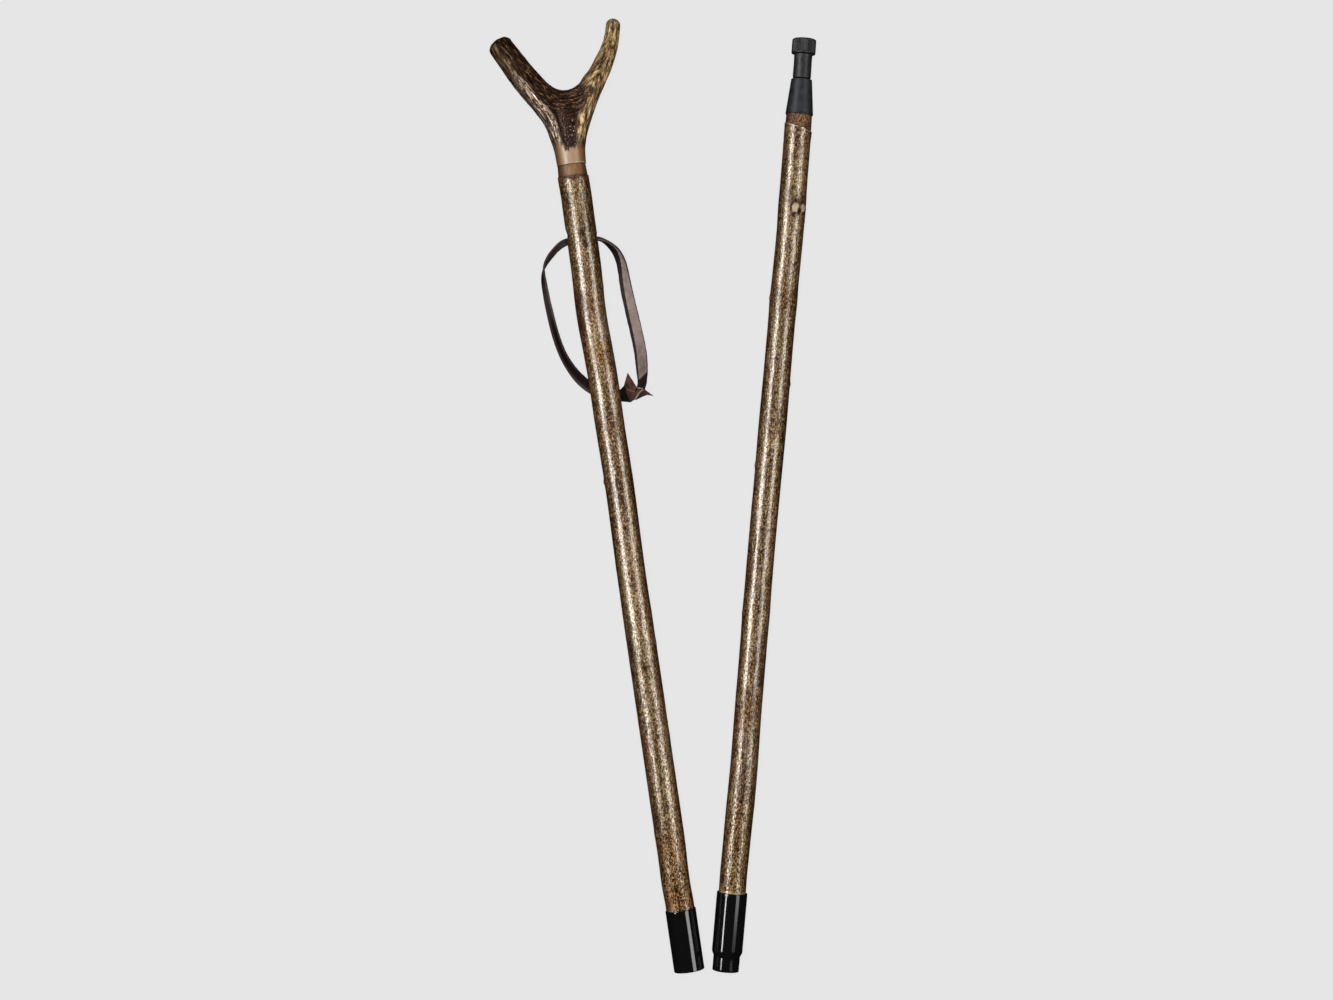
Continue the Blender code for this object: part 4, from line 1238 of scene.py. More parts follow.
            # a deep fold in the callus, painted black: painted shade in the fold
            half_z, half_arc = mark[5], mark[6]
            d = oval(zz, aa, at_z, at_arc, half_z, half_arc, girth)
            relief[near] -= 0.8 * np.exp(-(d**2))
            masks["dark"][near] = np.maximum(
                masks["dark"][near], np.exp(-((d * 0.85) ** 4))
            )
            masks["cut"][near] *= 1 - np.exp(-((d * 0.85) ** 4))
    relief *= 1 - lip
    return radius + relief * np.clip(fade + 0.35, 0, 1), across * fade, up * fade, masks


def finish_shank(
    name, matrix, rows_before, barked, rows_after, material, body, node_name
):
    """Joins plain rings, the barked grid and plain rings into one closed piece."""
    z, radius, across, up, masks = barked
    cols = z.shape[1]
    angle = np.linspace(0, TAU, cols, endpoint=False)[None, :]
    local = np.stack(
        [radius * np.cos(angle) + up, radius * np.sin(angle) + across, z], axis=-1
    )

    def rings(rows):
        made = []
        for r, station, off in rows:
            made.append(
                np.stack(
                    [
                        r * np.cos(angle[0]),
                        r * np.sin(angle[0]) + off,
                        np.full(cols, station),
                    ],
                    axis=-1,
                )
            )
        return np.array(made).reshape(-1, cols, 3)

    before, after = rings(rows_before), rings(rows_after)
    points = np.concatenate([before, local, after])
    rows = len(points)
    faces = grid_faces(rows, cols).tolist()
    faces.append(list(range(cols))[::-1])
    faces.append([(rows - 1) * cols + j for j in range(cols)])
    attributes = {"stick": points * MM}
    for key in MASKS:
        fill = 1.0 if key == "bare" else 0.0
        attributes[key] = np.concatenate(
            [
                np.full((len(before), cols), fill),
                np.clip(masks[key], -1, 1),
                np.full((len(after), cols), fill),
            ]
        )
    mesh = make_mesh(name, to_world(matrix, points), faces, attributes, 50)
    return make_object(name, mesh, body, "varnished_hazel", node_name, materials=(material,))


# --- upper shank

UPPER_START, UPPER_END = 58.7, 760.5
COLLAR_BOTTOM, COLLAR_END = 14.0, 13.3


def collar_radius(z):
    return COLLAR_BOTTOM - (COLLAR_BOTTOM - COLLAR_END) * (z - 760.8) / (771.8 - 760.8)


angles = np.linspace(0, TAU, BARK_COLS, endpoint=False)[None, :]
lip_points = np.stack(
    [14 * np.cos(angles), 14 * np.sin(angles), np.zeros_like(angles)], -1
)
# the bark's torn edge laps a little over the collar, more at the left
bark_edge = (
    760.2
    - 1.6 * np.exp(-((angles / 0.55) ** 2))
    - 1.4 * np.exp(-(((angles - TAU) / 0.4) ** 2))
    + 1.5 * np.exp(-(((angles - 5.1) / 0.5) ** 2))
    + 1.1 * smooth_noise(lip_points, 4.0, 3)
    + 0.9 * smooth_noise(lip_points, 1.7, 8)
)
count = int((756.0 - UPPER_START) / BARK_STEP)
stations = np.linspace(UPPER_START, 756.0, count)
z = np.repeat(stations[:, None], BARK_COLS, 1)
# the last rows follow the torn edge
edge_rows = [bark_edge * t + 756.0 * (1 - t) for t in (0.25, 0.5, 0.72, 0.88, 0.97)]
z = np.concatenate([z, *edge_rows])
grid_angle = np.repeat(angles, len(z), 0)
UPPER_MARKS = (
    ("blotch", 706.5, 0.4, 1.0),
    ("blotch", 695.3, 2.6, 1.05),
    ("shade", 640.0, -10.5, 1.2),
    ("shade", 619.4, -11.8, 1.1),
    ("smear", 613.7, 7.2, 1.0),
    ("bud", 655.0, 12.5, 0.9),
    ("pore", 378.5, 4.8, 0.9),
    ("pore", 320.5, -5.6, 0.9),
    ("pore", 446.0, 7.0, 0.7),
    ("scar", 302.7, -4.0, 0.55),
    ("scar", 313.0, 6.2, 0.6),
    ("blotch", 291.2, 0.3, 0.9),
    ("warm", 291.2, 0.3, 0.35),
    ("shade", 310.7, -9.5, 1.0),
    ("shade", 329.9, -8.5, 0.8),
    ("bud", 313.0, 13.3, 0.8),
    ("bud", 132.7, -12.0, 0.9),
    ("shade", 143.0, -9.5, 0.9),
    ("warm", 122.0, -7.0, 0.6),
    ("warm", 72.0, -4.0, 0.6),
    ("warm", 590.0, 2.0, 0.6),
    ("warm", 520.0, 3.0, 0.5),
    ("bud", 470.0, -13.0, 0.8),
    ("bud", 556.0, 13.5, 0.7),
    ("bud", 225.0, 13.0, 0.8),
    ("scar", 225.0, 10.5, 0.6),
    ("bud", 708.0, 0.0, 0.9, 160),
    ("bud", 585.0, 0.0, 1.0, 205),
    ("scar", 430.0, 0.0, 0.9, 150),
    ("bud", 390.0, 0.0, 0.9, 230),
    ("bud", 262.0, 0.0, 1.0, 140),
    ("scar", 180.0, 0.0, 1.0, 190),
    ("blotch", 340.0, 0.0, 1.2, 175),
    ("shade", 520.0, 0.0, 1.3, 215),
    ("shade", 660.0, 0.0, 1.3, 150),
)
radius, across, up, masks = bark_surface(
    z,
    grid_angle,
    upper_form,
    UPPER_START,
    UPPER_END,
    UPPER_MARKS,
    101,
    ramp(z, 757.5, 760.5) * 0.6,
)
# the strap has worn a small hollow where it leaves the hole on the left
hollow = np.exp(-(((z - 707.0) / 3.6) ** 2) - (((np.sin(grid_angle) + 1) / 0.10) ** 2))
radius -= 1.1 * hollow
masks["dark"] = np.maximum(masks["dark"], 0.6 * hollow)
torn = np.zeros_like(z)
torn[-1] = 0.8
torn[-2] = 0.45
# under the collar the bark is rubbed down to a rough red-brown band
rubbed = np.stack([14 * np.cos(grid_angle), 14 * np.sin(grid_angle), z], -1)
masks["callus"] = np.maximum(
    masks["callus"],
    ramp(z + 1.3 * smooth_noise(rubbed, (2.4, 2.4, 2.4), 7), 754.6, 757.2) * 0.92,
)
masks["matt"] = 0.80 * ramp(z, 672, 752) + 0.15 * (1 - ramp(z, 78, 130))
masks["deep"] = 0.9 * (1 - ramp(z, 95, 165))
masks["even"] = ramp(z, 220, 540) * (1 - ramp(z, 738, 752))
masks["pale"] = np.exp(-(((z - UPPER_START) / 0.8) ** 2)) * np.clip(
    0.15 + 0.8 * smooth_noise(lip_points, 6.0, 5), 0, 1
)
masks["dark"] = np.maximum(
    masks["dark"], torn * np.clip(0.9 - smooth_noise(lip_points, 2.2, 5), 0, 1)
)


def add_rows(barked, extra, attribute_rows):
    """Appends rings of per-angle (radius, across, up, station) after the barked grid."""
    z, radius, across, up, masks = barked
    for (r, a, u, s), values in zip(extra, attribute_rows):
        z = np.concatenate([z, np.broadcast_to(s, (1, z.shape[1]))])
        radius = np.concatenate([radius, np.broadcast_to(r, (1, z.shape[1]))])
        across = np.concatenate([across, np.broadcast_to(a, (1, z.shape[1]))])
        up = np.concatenate([up, np.broadcast_to(u, (1, z.shape[1]))])
        for key in masks:
            row = np.full((1, z.shape[1]), values.get(key, 0.0))
            masks[key] = np.concatenate([masks[key], row])
    return z, radius, across, up, masks


barked = (z, radius, across, up, masks)
last = radius[-1:]
barked = add_rows(
    barked,
    [
        (last - 0.25, across[-1:], up[-1:], bark_edge + 0.05),
        (np.maximum(collar_radius(bark_edge) + 0.12, last - 0.75), 0.0, 0.0, bark_edge + 0.02),
        (collar_radius(bark_edge) + 0.07, 0.0, 0.0, bark_edge - 0.1),
        (np.full_like(last, 14.07), 0.0, 0.0, np.minimum(bark_edge - 0.2, 760.45)),
        (np.full_like(last, 14.05), 0.0, 0.0, np.full_like(last, 760.5)),
    ],
    [
        {"dark": 0.6},
        {"dark": 0.7},
        {"dark": 0.8, "bare": 1.0},
        {"dark": 0.5, "bare": 1.0},
        {"bare": 1.0, "dark": 0.3},
    ],
)
upper_shank = finish_shank(
    "upper_hazel_shank",
    upper_matrix,
    [(4.9, 28.0, 0.0), (8.0, 28.0, 0.0), (12.3, 28.0, 0.0), (12.5, 28.3, 0.0), (12.5, 58.6, 0.0)],
    barked,
    [(9.0, 760.52, 0.0), (4.4, 760.52, 0.0)],
    UPPER_BARK,
    "upper_section",
    "upper_shank",
)

# the strap's cross hole
STRAP_HOLE_STATION, STRAP_HOLE_RADIUS = 700.5, 4.2
bore_wood, bt, bs = tree_of("bored_hazel")
b_at = node(bt, "ShaderNodeTexCoord").outputs["Object"]
b_fibre = grain(bt, b_at, 1500.0, 3.0)
put(bt, bs.inputs["Base Color"], mix(bt, b_fibre, (0.05, 0.025, 0.012), (0.20, 0.12, 0.06)))
bs.inputs["Roughness"].default_value = 0.7
cutter_mesh = bpy.data.meshes.new("strap_bore")
form = bmesh.new()
bmesh.ops.create_cone(
    form,
    cap_ends=True,
    segments=48,
    radius1=STRAP_HOLE_RADIUS * MM,
    radius2=STRAP_HOLE_RADIUS * MM,
    depth=0.06,
)
form.to_mesh(cutter_mesh)
form.free()
cutter_mesh.materials.append(bore_wood)
cutter = bpy.data.objects.new("strap_bore", cutter_mesh)
cutter.matrix_world = (
    upper_matrix
    @ Matrix.Translation((0, 0, STRAP_HOLE_STATION * MM))
    @ Matrix.Rotation(math.radians(-90), 4, "X")
)
bpy.context.scene.collection.objects.link(cutter)


def carve(obj, tool):
    """Cuts the tool out of the object for good."""
    modifier = obj.modifiers.new("cut", "BOOLEAN")
    modifier.operation = "DIFFERENCE"
    modifier.solver = "EXACT"
    modifier.object = tool
    modifier.material_mode = "TRANSFER"
    bpy.context.view_layer.update()
    graph = bpy.context.evaluated_depsgraph_get()
    mesh = bpy.data.meshes.new_from_object(
        obj.evaluated_get(graph), preserve_all_data_layers=True, depsgraph=graph
    )
    obj.modifiers.remove(modifier)
    obj.data = mesh
    bpy.data.objects.remove(tool, do_unlink=True)


carve(upper_shank, cutter)

# --- lower shank

LOWER_START, LOWER_END = 74.7, 815.6
across_top = 12.7 * np.sin(angles)
lower_points = np.stack(
    [12.7 * np.cos(angles), 12.7 * np.sin(angles), np.zeros_like(angles)], -1
)
lower_edge = (
    803.6
    - 0.27 * across_top
    + 0.5 * smooth_noise(lower_points, 5.0, 41)
    + 0.4 * smooth_noise(lower_points, 2.0, 42)
)
EDGE = 803.3
lower_rows = np.concatenate(
    [
        np.arange(LOWER_START, 786.0, BARK_STEP),
        np.arange(786.0, EDGE - 0.9, 0.9),
        [EDGE - 0.6, EDGE - 0.25, EDGE, EDGE + 0.12, EDGE + 0.35],
        np.arange(EDGE + 1.0, LOWER_END - 0.3, 0.8),
        [LOWER_END],
    ]
)
z = np.repeat(lower_rows[:, None], BARK_COLS, 1)
shift = np.clip(1 - np.abs(lower_rows - EDGE) / 12.0, 0, 1)[:, None]
z_warped = z + (lower_edge - EDGE) * shift
grid_angle = np.repeat(angles, len(z), 0)
LOWER_MARKS = (
    ("stub", 726.2, 3.6, 1.0, None, 4.7, 4.0),
    ("stub", 726.8, 10.3, 1.0, None, 3.7, 4.1),
    ("cleft", 723.9, 7.2, 1.0, None, 3.5, 2.2),
    ("shade", 732.5, 5.0, 0.8),
    ("shade", 731.5, -1.0, 0.5),
    ("scar", 762.8, 6.2, 0.45),
    ("smear", 762.0, 6.2, 0.4),
    ("pore", 716.7, 6.0, 0.8),
    ("pore", 706.3, 4.3, 0.6),
    ("blotch", 719.0, 2.2, 0.6),
    ("shade", 735.0, -3.0, 1.0),
    ("shade", 733.0, 9.0, 0.8),
    ("scar", 781.3, -12.0, 0.5),
    ("bud", 640.0, -12.9, 0.85),
    ("bud", 480.7, -12.9, 0.9),
    ("scar", 420.4, 5.5, 0.95),
    ("shade", 420.0, 11.0, 0.6),
    ("smear", 414.0, 3.0, 0.8),
    ("pore", 360.3, -1.5, 0.8),
    ("smear", 372.0, 0.5, 1.0),
    ("bud", 340.1, -13.0, 0.8),
    ("scar", 273.0, 9.0, 0.8),
    ("shade", 276.0, 10.5, 0.8),
    ("blotch", 215.6, -2.2, 0.5),
    ("blotch", 206.0, -1.0, 0.45),
    ("smear", 212.0, 1.0, 0.9),
    ("bud", 160.0, 12.6, 0.7),
    ("bud", 560.0, 12.8, 0.8),
    ("warm", 640.0, 2.0, 0.6),
    ("warm", 250.0, 0.0, 0.8),
    ("warm", 520.0, 3.0, 0.6),
    ("bud", 700.0, 0.0, 0.9, 165),
    ("bud", 600.0, 0.0, 1.0, 210),
    ("scar", 520.0, 0.0, 1.0, 150),
    ("bud", 440.0, 0.0, 0.9, 225),
    ("bud", 300.0, 0.0, 1.0, 145),
    ("scar", 230.0, 0.0, 0.9, 200),
    ("shade", 380.0, 0.0, 1.4, 180),
    ("blotch", 650.0, 0.0, 1.2, 190),
)
shaved = ramp(z, EDGE - 0.05, EDGE + 0.3)
radius, across, up, masks = bark_surface(
    z_warped,
    grid_angle,
    lower_form,
    LOWER_START,
    LOWER_END,
    LOWER_MARKS,
    202,
    shaved,
)
fade_end = ramp(z_warped, LOWER_END - 60, LOWER_END)
across = across + TIP_ACROSS * fade_end
# bark lies proud of the shaved wood, and its edge is lifted a little
lift = np.exp(-(((z - (EDGE - 0.7)) / 1.3) ** 2)) * (1 - shaved)
radius += 0.38 * ramp(z, 790, 800) * (1 - shaved) + 0.28 * lift
shave_at = np.stack(
    [12.7 * np.cos(grid_angle), 12.7 * np.sin(grid_angle), z_warped], axis=-1
)
facets = rough_noise(shave_at, (3.2, 3.2, 2.0), 61, 3)
radius += shaved * (0.16 * facets + 0.07 * smooth_noise(shave_at, (1.0, 1.0, 0.8), 62) - 0.12)
masks["bare"] = shaved
masks["deep"] = 0.55 * (1 - ramp(z, 140, 230))
masks["even"] = 0.9 * ramp(z, 150, 300) * (1 - 0.5 * ramp(z, 620, 740)) * (1 - ramp(z, 796, 802))
masks["matt"] = 0.22 * (1 - ramp(z, 130, 200))
for key in ("dark", "dot", "pink"):
    masks[key] = masks[key] * (1 - shaved)
# a dark line on the shaved wood just under the bark's raised edge: painted shadow of the step
masks["dark"] = np.maximum(masks["dark"], 0.95 * np.exp(-(((z - (EDGE + 0.45)) / 0.65) ** 2)))
masks["dark"] = np.maximum(masks["dark"], 0.5 * np.exp(-(((z - (EDGE - 2.2)) / 1.1) ** 2)) * (1 - shaved))
masks["pale"] = 0.8 * np.exp(-(((z - (EDGE - 0.5)) / 0.5) ** 2)) * np.clip(
    0.65 + 0.6 * smooth_noise(shave_at, 3.0, 63), 0, 1
)
# the bark's cut edge shows as a pale line over the joint tube
masks["pale"] = np.maximum(
    masks["pale"],
    np.exp(-(((z - 75.0) / 0.8) ** 2))
    * np.clip(0.7 + 0.5 * smooth_noise(shave_at, 4.0, 64), 0, 1),
)


def cone_radius(z):
    return 13.2 - (13.2 - 9.9) / (CONE_END - CONE_START) * (z - CONE_START)


lower_shank = finish_shank(
    "lower_hazel_shank",
    lower_matrix,
    [(2.0, 22.3, 0.0), (7.0, 22.3, 0.0), (12.3, 22.3, 0.0), (12.6, 22.6, 0.0), (12.6, 74.6, 0.0)],
    (z_warped, radius, across, up, masks),
    [
        (cone_radius(815.9) - 1.8, 815.62, TIP_ACROSS),
        (cone_radius(836.9) - 1.8, 836.9, TIP_ACROSS - 21.0 * math.tan(TIP_SKEW)),
        (3.0, 836.92, TIP_ACROSS - 21.0 * math.tan(TIP_SKEW)),
    ],
    LOWER_BARK,
    "lower_section",
    "lower_shank",
)

# ------------------------------------------------------------------ joint

waves = np.random.default_rng(5).uniform(0, TAU, 6)


def dented(amount, seed):
    """A tube that is out of true by a few hundredths of a millimetre."""

    def shape(radius, station, angle):
        at = np.stack(
            [
                radius * np.cos(angle),
                radius * np.sin(angle) + 0 * station,
                station + 0 * angle,
            ],
            axis=-1,
        )
        return radius + amount * smooth_noise(at, (9.0, 9.0, 16.0), seed)

    return shape


upper_tube = rounded(
    [
        (14.5, 58.4, 0.5),
        (14.5, 0.0, 0.45),
        (12.8, 0.0, 0.35),
        (12.8, 58.4, 0.2),
    ]
)
make_object(
    "upper_joint_tube",
    turned_mesh(
        "upper_joint_tube",
        split_long(upper_tube, 3.0),
        upper_matrix,
        128,
        dented(0.03, 11),
    ),
    "upper_section",
    "gloss_black_steel",
    "upper_ferrule",
    materials=(BLACK_PAINT,),
)

lower_tube = rounded(
    [
        (14.5, 74.4, 0.5),
        (14.5, 18.0, 0.9),
        (13.6, 16.1, 0.3),
        (12.6, 14.0, 0.8),
        (12.6, 0.0, 0.45),
        (11.1, 0.0, 0.3),
        (11.1, 14.8, 0.3),
        (12.9, 19.0, 0.3),
        (12.9, 74.4, 0.2),
    ]
)


def lower_tube_shape(radius, station, angle):
    wavy = dented(0.03, 12)(radius, station, angle)
    at = np.stack(
        [radius * np.cos(angle), radius * np.sin(angle), station + 0 * angle], axis=-1
    )
    spigot = 1 - ramp(station, 15.0, 20.0)
    return wavy + 0.07 * spigot * smooth_noise(at, (5.0, 5.0, 5.5), 14)


def lower_tube_wear(radius, station, angle):
    """Its paint is handled dull on the right, most of all on the spigot."""
    side = ramp(radius * np.sin(angle), 1.0, 3.0) * (1 - ramp(radius * np.sin(angle), 9.0, 11.0))
    return {"worn": side * (0.5 + 0.45 * (1 - ramp(station, 16, 74)))}


make_object(
    "lower_joint_tube",
    turned_mesh(
        "lower_joint_tube",
        split_long(lower_tube, 2.0),
        lower_matrix,
        128,
        lower_tube_shape,
        extra=lower_tube_wear,
    ),
    "lower_section",
    "gloss_black_steel",
    "lower_ferrule",
    materials=(BLACK_PAINT,),
)


def thread(start, end, depth, pitch, inner=False):
    """Radius with a screw thread cut between two stations."""

    def shape(radius, station, angle):
        turn = station / pitch - angle / TAU
        cut = 0.5 - 0.5 * np.cos(TAU * turn)
        cut = depth * np.clip(cut * 1.25 - 0.1, 0, 1)
        inside = ramp(station, start, start + 1.0) * (1 - ramp(station, end - 1.0, end))
        on_wall = (radius < 6.0) & (radius > 3.0)
        return radius + (1 if inner else -1) * cut * inside * on_wall

    return shape


stud_outline = rounded(
    [(0.4, 5.0), (3.4, 5.0, 0.3), (4.85, 6.3, 0.5), (4.85, 61.2, 0.4), (4.0, 62.0, 0.2), (0.4, 62.0)],
    closed=False,
)
make_object(
    "joint_stud_thread",
    turned_mesh(
        "joint_stud_thread",
        split_long(stud_outline, 0.2, closed=False),
        upper_matrix,
        48,
        thread(6.4, 61.0, 0.62, 1.5),
        closed=False,
        sharp=70,
    ),
    "upper_section",
    "bright_steel",
    "joint_stud",
    materials=(STEEL,),
)

bush_outline = rounded(
    [
        (10.8, 21.5, 0.3),
        (10.8, 0.6, 0.5),
        (5.9, 0.6, 0.2),
        (5.0, 1.5, 0.2),
        (5.0, 21.5, 0.0),
    ]
)
make_object(
    "brass_bush",
    turned_mesh(
        "brass_bush",
        split_long(bush_outline, 0.35),
        lower_matrix,
        56,
        thread(1.6, 21.2, 0.5, 1.5, inner=True),
        sharp=70,
    ),
    "lower_section",
    "brass",
    "threaded_insert",
    materials=(BRASS,),
)

# ------------------------------------------------------------------ tip

cone_outline = rounded(
    [
        (9.9, 849.5, 0.6),
        (13.2, 815.9, 0.5),
        (11.7, 815.9, 0.2),
        (cone_radius(837.2) - 1.5, 837.2, 0.3),
        (4.4, 837.2, 0.2),
        (4.4, 849.5, 0.3),
    ]
)


def cone_wear(radius, station, angle):
    at = np.stack(
        [radius * np.cos(angle), radius * np.sin(angle), station + 0 * angle], axis=-1
    )
    rim = np.exp(-(((station - 816.2) / 0.9) ** 2)) + 0.5 * np.exp(
        -(((station - 849.3) / 0.6) ** 2)
    )
    return {"worn": np.clip(rim * (0.9 + 0.5 * smooth_noise(at, 2.5, 71)), 0, 1)}


make_object(
    "cone_ferrule",
    turned_mesh(
        "cone_ferrule",
        split_long(cone_outline, 1.2),
        tip_matrix,
        120,
        dented(0.04, 15),
        extra=cone_wear,
    ),
    "lower_section",
    "matte_dark_metal",
    "tip_ferrule",
    materials=(CONE_PAINT,),
)

spike_outline = rounded(
    [(0.3, 838.9), (4.1, 838.9, 0.2), (4.1, 873.9, 0.6), (0.7, 881.7, 0.3), (0.3, 881.9)],
    closed=False,
)
make_object(
    "spike",
    turned_mesh(
        "spike",
        split_long(spike_outline, 1.0, closed=False),
        tip_matrix,
        48,
        closed=False,
    ),
    "lower_section",
    "bright_steel",
    "tip_spike",
    materials=(STEEL,),
)

NECK_START, CAP_START, CAP_END = 850.5, 873.4, 887.9
foot_outline = rounded(
    [
        (0.3, CAP_END - 0.5),
        (3.2, CAP_END - 0.5, 0.3),
        (3.8, CAP_END, 0.3),
        (6.0, CAP_END, 0.3),
        (6.5, CAP_END - 0.8, 0.3),
        (7.5, CAP_END - 0.8, 0.3),
        (8.0, CAP_END, 0.3),
        (10.0, CAP_END, 0.4),
        (11.45, CAP_END - 0.9, 0.9),
        (11.45, CAP_START + 0.5, 0.9),
        (10.4, CAP_START, 0.6),
        (8.65, CAP_START - 0.2, 0.9),
        (8.5, CAP_START - 8.0, 1.0),
        (8.65, NECK_START + 1.6, 0.6),
        (8.3, NECK_START, 0.6),
        (4.5, NECK_START, 0.3),
        (4.4, 882.2, 0.0),
        (8.3, 882.2, 0.0),
        (8.3, 884.3, 0.0),
        (0.3, 884.3),
    ],
    closed=False,
)


def foot_ribs(radius, station, angle):
    """Fine ribs round the cap, none on its ends or on the neck."""
    side = (
        ramp(station, CAP_START + 0.9, CAP_START + 1.6)
        * (1 - ramp(station, CAP_END - 2.0, CAP_END - 1.3))
        * (radius > 11.0)
    )
    return side * (0.5 - 0.5 * np.cos(44 * angle)) ** 1.6


def foot_shape(radius, station, angle):
    at = np.stack(
        [radius * np.cos(angle), radius * np.sin(angle), station + 0 * angle], axis=-1
    )
    return radius - 0.42 * foot_ribs(radius, station, angle) + 0.05 * smooth_noise(at, 4.0, 81)


def foot_grooves(radius, station, angle):
    """Darker between the ribs, at the cap's lip and where the neck meets it."""
    outer = np.repeat(np.array(foot_profile)[:, :1], angle.shape[1], 1)
    ribs = foot_ribs(outer, station, angle)
    step = np.exp(-(((station - CAP_START - 0.1) / 0.9) ** 2)) * (outer < 11.0) * (outer > 8.0)
    return {"groove": np.clip(ribs + step, 0, 1)}


foot_profile = split_long(foot_outline, 1.0, closed=False)
foot_mesh = turned_mesh(
    "rubber_cap",
    foot_profile,
    tip_matrix,
    264,
    foot_shape,
    closed=False,
    sharp=50,
    extra=foot_grooves,
)
make_object(
    "rubber_cap",
    foot_mesh,
    "foot",
    "black_rubber",
    "rubber_foot",
    materials=(RUBBER,),
)

for kept in ("fork_stud", "foot_washer"):
    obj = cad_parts[kept]
    obj.data.materials.clear() if not obj.data.materials else None
    for k in range(len(obj.material_slots)):
        obj.material_slots[k].material = CAD_STEEL

# ------------------------------------------------------------------ collar

collar_outline = rounded(
    [
        (13.3, 771.8, 0.35),
        (14.0, 760.8, 0.25),
        (4.3, 760.8, 0.0),
        (4.3, 771.8, 0.0),
    ]
)


def collar_shape(radius, station, angle):
    at = np.stack(
        [radius * np.cos(angle), radius * np.sin(angle), station + 0 * angle], axis=-1
    )
    outer = radius > 12.0
    return radius + outer * (0.04 * smooth_noise(at, (1.2, 1.2, 14.0), 91))


def collar_wear(radius, station, angle):
    at = np.stack(
        [radius * np.cos(angle), radius * np.sin(angle), station + 0 * angle], axis=-1
    )
    top = np.exp(-(((station - 771.7) / 0.5) ** 2)) * np.clip(
        0.75 + 0.5 * smooth_noise(at, 5.0, 92), 0, 1
    )
    top = top * (1 - 0.6 * ramp(np.sin(angle), 0.0, 0.4))
    low = np.exp(-(((station - 761.0) / 0.9) ** 2)) * np.clip(
        0.5 + 0.6 * smooth_noise(at, 3.0, 93), 0, 1
    )
    return {"worn": np.clip(np.maximum(top, low), 0, 1)}


make_object(
    "wood_collar",
    turned_mesh(
        "wood_collar",
        split_long(collar_outline, 0.8),
        upper_matrix,
        128,
        collar_shape,
        extra=collar_wear,
    ),
    "upper_section",
    "stained_wood",
    "collar",
    materials=(COLLAR_WOOD,),
)

# ------------------------------------------------------------------ antler fork


def droop(z, depth, power=1.6):
    t = np.clip((z - 790.0) / 105.0, 0.0, None)
    return -depth * t**power


def curve_through(points, count):
    """An even Catmull-Rom curve through the rows of an array."""
    points = np.array(points, float)
    last = len(points) - 1
    out = []
    for share in np.linspace(0, last, count):
        i = min(int(share), last - 1)
        t = share - i
        a, b = points[max(i - 1, 0)], points[i]
        c, d = points[i + 1], points[min(i + 2, last)]
        out.append(
            0.5
            * (
                2 * b
                + (c - a) * t
                + (2 * a - 5 * b + 4 * c - d) * t * t
                + (3 * b - a - 3 * c + d) * t**3
            )
        )
    return np.array(out)


def arm_rings(points, length, depth, count=70, cols=44, flat_end=1.0):
    """Rings round an arm's centreline, (station, radius, across), with a rounded end."""
    line = curve_through(points, count)
    z, radius, a = line[:, 0], line[:, 1], line[:, 2]
    run = np.array([z[-1] - z[-2], a[-1] - a[-2]])
    run /= np.linalg.norm(run)
    shares = np.array([0.2, 0.38, 0.55, 0.7, 0.82, 0.91, 0.97, 0.995])
    z_end = z[-1] + run[0] * length * shares
    a_end = a[-1] + run[1] * length * shares
    r_end = radius[-1] * np.sqrt(1 - shares ** (2 * flat_end))
    z, a, radius = (
        np.concatenate([z, z_end]),
        np.concatenate([a, a_end]),
        np.concatenate([radius, r_end]),
    )
    centre = np.stack([droop(z, depth), a, z], axis=-1)
    tangent = np.gradient(centre, axis=0)
    tangent /= np.linalg.norm(tangent, axis=1)[:, None]
    up = np.array([1.0, 0.0, 0.0])
    side = np.cross(tangent, up)
    side /= np.linalg.norm(side, axis=1)[:, None]
    rise = np.cross(side, tangent)
    turn = np.linspace(0, TAU, cols, endpoint=False)
    return centre[:, None, :] + radius[:, None, None] * (
        side[:, None, :] * np.cos(turn)[None, :, None]
        + rise[:, None, :] * np.sin(turn)[None, :, None]
    )


THICK_ARM = [
    (768.0, 13.6, 0.2),
    (785.9, 14.2, 0.2),
    (800.9, 13.4, -3.2),
    (818.9, 12.4, -9.0),
    (836.9, 13.1, -17.9),
    (846.0, 13.8, -22.8),
    (855.4, 13.6, -28.9),
    (866.9, 13.0, -35.8),
    (879.4, 12.4, -42.8),
    (891.9, 11.9, -49.2),
]
TINE = [
    (768.0, 13.6, 0.2),
    (786.9, 14.3, 1.0),
    (800.9, 13.5, 5.6),
    (815.9, 12.1, 13.4),
    (832.9, 11.6, 22.6),
    (844.4, 11.3, 29.8),
    (853.4, 10.0, 36.8),
    (860.9, 9.2, 42.3),
    (868.4, 8.6, 46.7),
    (875.9, 8.0, 50.6),
    (883.4, 7.5, 53.8),
    (889.9, 7.2, 55.9),
    (899.4, 7.0, 58.2),
]
WEB = [
    (768.0, 13.6, 13.6, 0.2),
    (786.9, 14.9, 14.2, 0.6),
    (800.9, 17.6, 14.0, 1.8),
    (812.9, 21.0, 13.4, 2.4),
    (824.9, 25.0, 12.2, 2.4),
    (830.5, 25.6, 11.0, 1.8),
    (834.6, 23.8, 9.4, 1.6),
    (837.6, 19.5, 7.6, 2.0),
    (839.4, 13.0, 5.4, 2.6),
]
